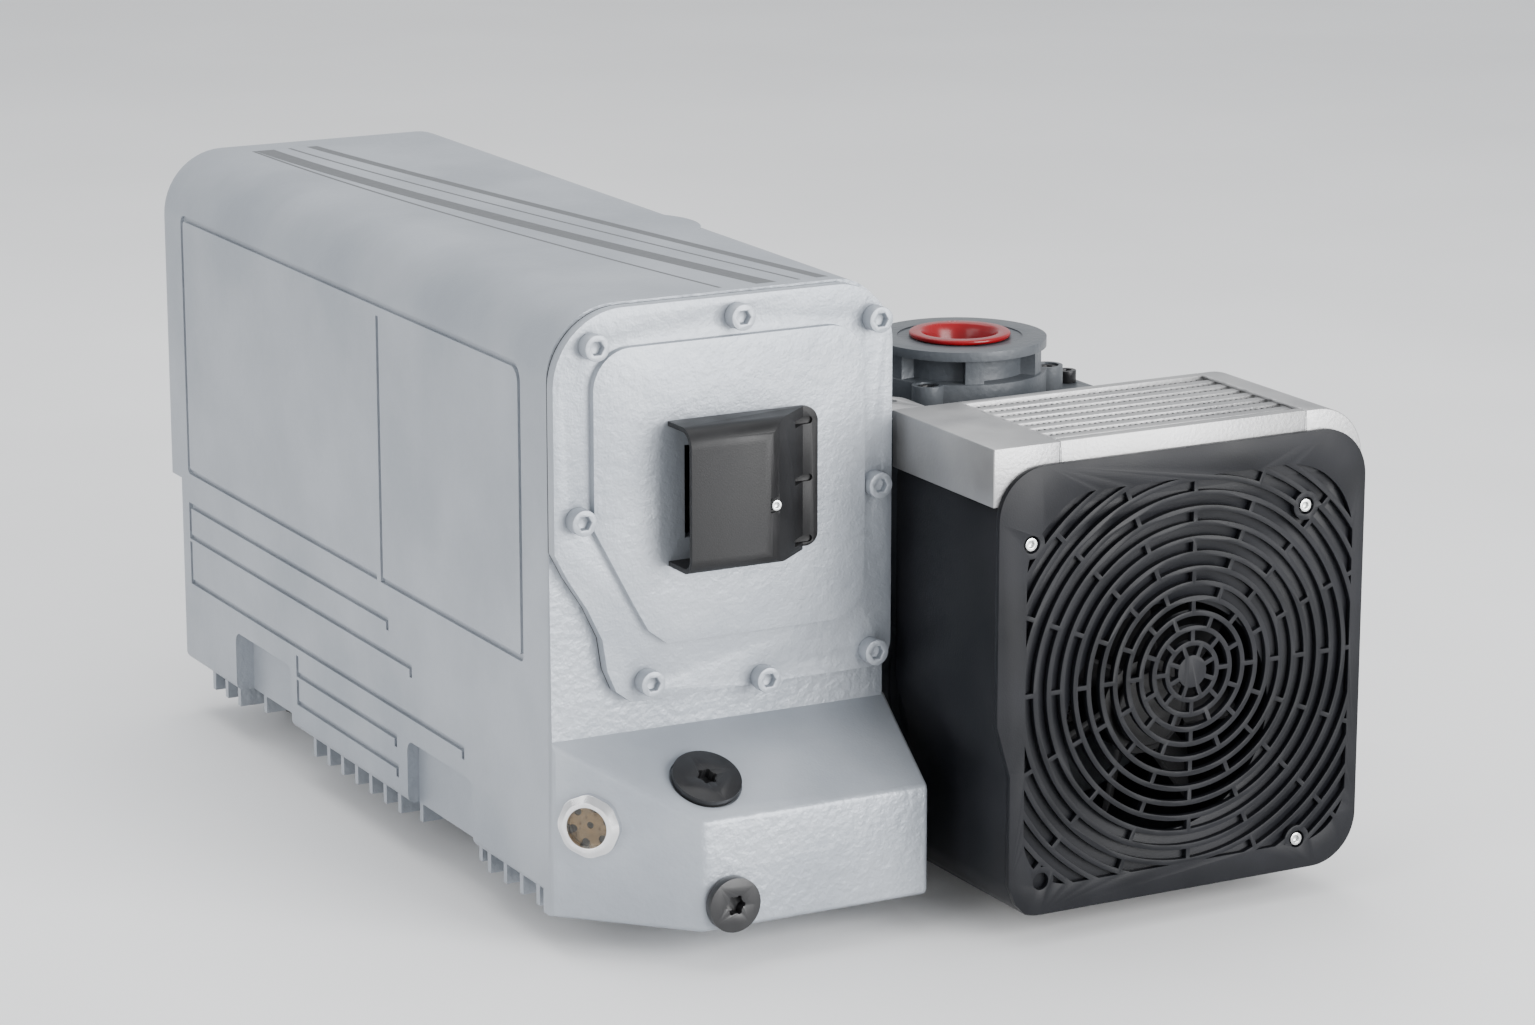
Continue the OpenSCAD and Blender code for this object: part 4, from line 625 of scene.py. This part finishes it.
bpy.ops.object.mode_set(mode="OBJECT")
bpy.ops.object.select_all(action="DESELECT")
bpy.ops.mesh.primitive_cylinder_add(vertices=64, radius=GLASS_HOLE, depth=0.03)
drill = bpy.context.view_layer.objects.active
only(ring)
drilling = ring.modifiers.new("drill", "BOOLEAN")
drilling.operation = "DIFFERENCE"
drilling.solver = "EXACT"
drilling.object = drill
bpy.ops.object.modifier_apply(modifier=drilling.name)
bpy.data.objects.remove(drill)
ring.rotation_euler = Euler((math.radians(90), 0, -SLANT))
ring.location = ring_face
only(ring)
bpy.ops.object.transform_apply(location=True, rotation=True, scale=True)
weigh_edges(ring, 1.0)
bevel(ring, 0.0004, 2)
ring.data.materials.append(bright_aluminium)
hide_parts("sight_glass_ring")
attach(ring, "frame")
print(ring.name, "faces:", len(ring.data.polygons))

# %% [markdown]
# Behind the grille a round duct leads the air to the fan. It is open at the top, where the air
# turns up into the cooler. A tube without ends is all it takes: its upper faces are
# deleted and the rest gets a wall. A cap covers the end of the shaft in the fan's hub, and a thin
# strip closes the slots that lie in front of the cooler.

# %% Fan duct and grille backing
DUCT_RADIUS = 0.086
DUCT_LENGTH = 0.113
DUCT_CLOSED = 0.86  # how far up the tube is kept, as a share of its radius
duct_middle = place(360, -61.5, 108)


def delete_faces(piece, chosen):
    only(piece)
    bpy.ops.object.mode_set(mode="EDIT")
    bpy.ops.mesh.select_mode(type="FACE")
    bpy.ops.mesh.select_all(action="DESELECT")
    bpy.ops.object.mode_set(mode="OBJECT")
    for face in piece.data.polygons:
        face.select = chosen(face.center)
    bpy.ops.object.mode_set(mode="EDIT")
    bpy.ops.mesh.delete(type="FACE")
    bpy.ops.object.mode_set(mode="OBJECT")


bpy.ops.object.select_all(action="DESELECT")
bpy.ops.mesh.primitive_cylinder_add(vertices=96, radius=DUCT_RADIUS, depth=DUCT_LENGTH,
                                    end_fill_type="NOTHING",
                                    location=duct_middle, rotation=(math.radians(90), 0, 0))
duct = bpy.context.view_layer.objects.active
duct.name = "fan_duct"
bpy.ops.object.transform_apply(location=True, rotation=True, scale=True)
delete_faces(duct, lambda centre: centre.z > duct_middle.z + DUCT_RADIUS * DUCT_CLOSED)
wall = duct.modifiers.new("wall", "SOLIDIFY")
wall.thickness = 0.002
bpy.ops.object.modifier_apply(modifier=wall.name)
bpy.ops.object.shade_smooth_by_angle(angle=math.radians(40))
duct.data.materials.append(charcoal_plastic)
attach(duct, "frame")

fan_low, fan_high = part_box("fan_impeller")
HUB_CAP_RADIUS = 0.024
bpy.ops.object.select_all(action="DESELECT")
bpy.ops.mesh.primitive_cylinder_add(vertices=64, radius=HUB_CAP_RADIUS, depth=0.005,
                                    rotation=(math.radians(90), 0, 0),
                                    location=((fan_low.x + fan_high.x) / 2,
                                              fan_low.y - 0.0022, (fan_low.z + fan_high.z) / 2))
hub_cap = bpy.context.view_layer.objects.active
hub_cap.name = "fan_hub_cap"
bpy.ops.object.transform_apply(location=True, rotation=True, scale=True)
weigh_edges(hub_cap, 1.0)
bevel(hub_cap, 0.0016, 3)
hub_cap.data.materials.append(black_plastic)
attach(hub_cap, body_of("fan_impeller"))

grille_low, grille_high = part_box("fan_grille")
bpy.ops.object.select_all(action="DESELECT")
bpy.ops.mesh.primitive_cube_add(size=1,
                                location=((grille_low.x + grille_high.x) / 2,
                                          grille_low.y + 0.0034, grille_high.z - 0.016),
                                scale=(grille_high.x - grille_low.x - 0.040, 0.001, 0.021))
backing = bpy.context.view_layer.objects.active
backing.name = "grille_backing"
bpy.ops.object.transform_apply(location=True, rotation=True, scale=True)
backing.data.materials.append(charcoal_plastic)
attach(backing, "frame")
print("duct faces:", len(duct.data.polygons), "backing at y", round(backing.data.vertices[0].co.y, 4))

# %% [markdown]
# The cooler's tanks are welded to its core. A weld is a row of overlapping drops, so a thin
# cylinder is cut into short lengths, its points are shaken a little, and subdivision melts them
# together.

# %% Weld beads on the cooler
core_low, core_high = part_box("cooler_core")
BEAD = 0.0013


def weld_bead(name, start, end, seed):
    length = (end - start).length
    bpy.ops.object.select_all(action="DESELECT")
    bpy.ops.mesh.primitive_cylinder_add(vertices=8, radius=BEAD, depth=length)
    bead = bpy.context.view_layer.objects.active
    bead.name = name
    bead.rotation_euler = (end - start).to_track_quat("Z", "Y").to_euler()
    bead.location = (start + end) / 2
    bpy.ops.object.mode_set(mode="EDIT")
    bpy.ops.mesh.select_mode(type="EDGE")
    bpy.ops.mesh.select_all(action="DESELECT")
    bpy.ops.object.mode_set(mode="OBJECT")
    for edge in bead.data.edges:
        a, b = (bead.data.vertices[v].co for v in edge.vertices)
        edge.select = abs(a.z - b.z) > length / 2
    bpy.ops.object.mode_set(mode="EDIT")
    bpy.ops.mesh.subdivide(number_cuts=int(length / 0.0022))
    bpy.ops.mesh.select_all(action="SELECT")
    bpy.ops.transform.vertex_random(offset=BEAD * 0.45, seed=seed)
    bpy.ops.object.mode_set(mode="OBJECT")
    bpy.ops.object.transform_apply(location=True, rotation=True, scale=True)
    melt = bead.modifiers.new("melt", "SUBSURF")
    melt.levels = melt.render_levels = 1
    bpy.ops.object.modifier_apply(modifier=melt.name)
    bpy.ops.object.shade_smooth()
    bead.data.materials.append(raw_aluminium)
    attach(bead, "frame")
    return bead


for side, x in (("left", core_low.x), ("right", core_high.x)):
    top_z = core_high.z - BEAD * 0.6
    weld_bead(f"weld_top_{side}", Vector((x, core_low.y + 0.004, top_z)),
              Vector((x, core_high.y - 0.002, top_z)), 3)
    front_y = core_low.y + BEAD * 0.55
    weld_bead(f"weld_front_{side}", Vector((x, front_y, core_low.z + 0.003)),
              Vector((x, front_y, core_high.z - 0.003)), 5)
print("weld beads: 4")

# %% [markdown]
# The stage is a wide pale floor. One broad lamp stands at the front right and gives the bright
# front wall, a weaker one fills the left side, and a third from above and behind draws the top
# edges. The sky light is pale and even, as in a tent of white cloth.

# %% Floor and lights
floor_paint = finish("pale_floor", (0.86, 0.86, 0.86), (0.90, 0.90, 0.90), (0.6, 0.7), 0.5, 0.01, 0.02)
bpy.ops.object.select_all(action="DESELECT")
bpy.ops.mesh.primitive_plane_add(size=40)
floor = bpy.context.view_layer.objects.active
floor.name = "floor"
floor.data.materials.append(floor_paint)

LAMPS = [  # name, place from the measuring corner (mm), size (m), power (W)
    ("key", (1300, -2500, 800), 1.8, 150),
    ("fill", (-2600, -600, 1100), 2.2, 42), ("top", (300, 900, 2600), 2.4, 50)]
TARGET = place(260, 200, 160)
for name, spot, size, power in LAMPS:
    lamp = bpy.data.lights.new(name, "AREA")
    lamp.size = size
    lamp.energy = power
    holder = bpy.data.objects.new(name, lamp)
    bpy.context.scene.collection.objects.link(holder)
    holder.location = place(*spot)
    holder.rotation_euler = (TARGET - holder.location).to_track_quat("-Z", "Y").to_euler()
world = bpy.data.worlds.new("white_tent")
bpy.context.scene.world = world
world.use_nodes = True
world.node_tree.nodes["Background"].inputs["Color"].default_value = (0.95, 0.97, 1.0, 1)
world.node_tree.nodes["Background"].inputs["Strength"].default_value = 0.92
print("lamps:", len(LAMPS))

# %% [markdown]
# Last, the selection is cleared. Looks never change a size.

# %% Clearing the selection
bpy.ops.object.select_all(action="DESELECT")
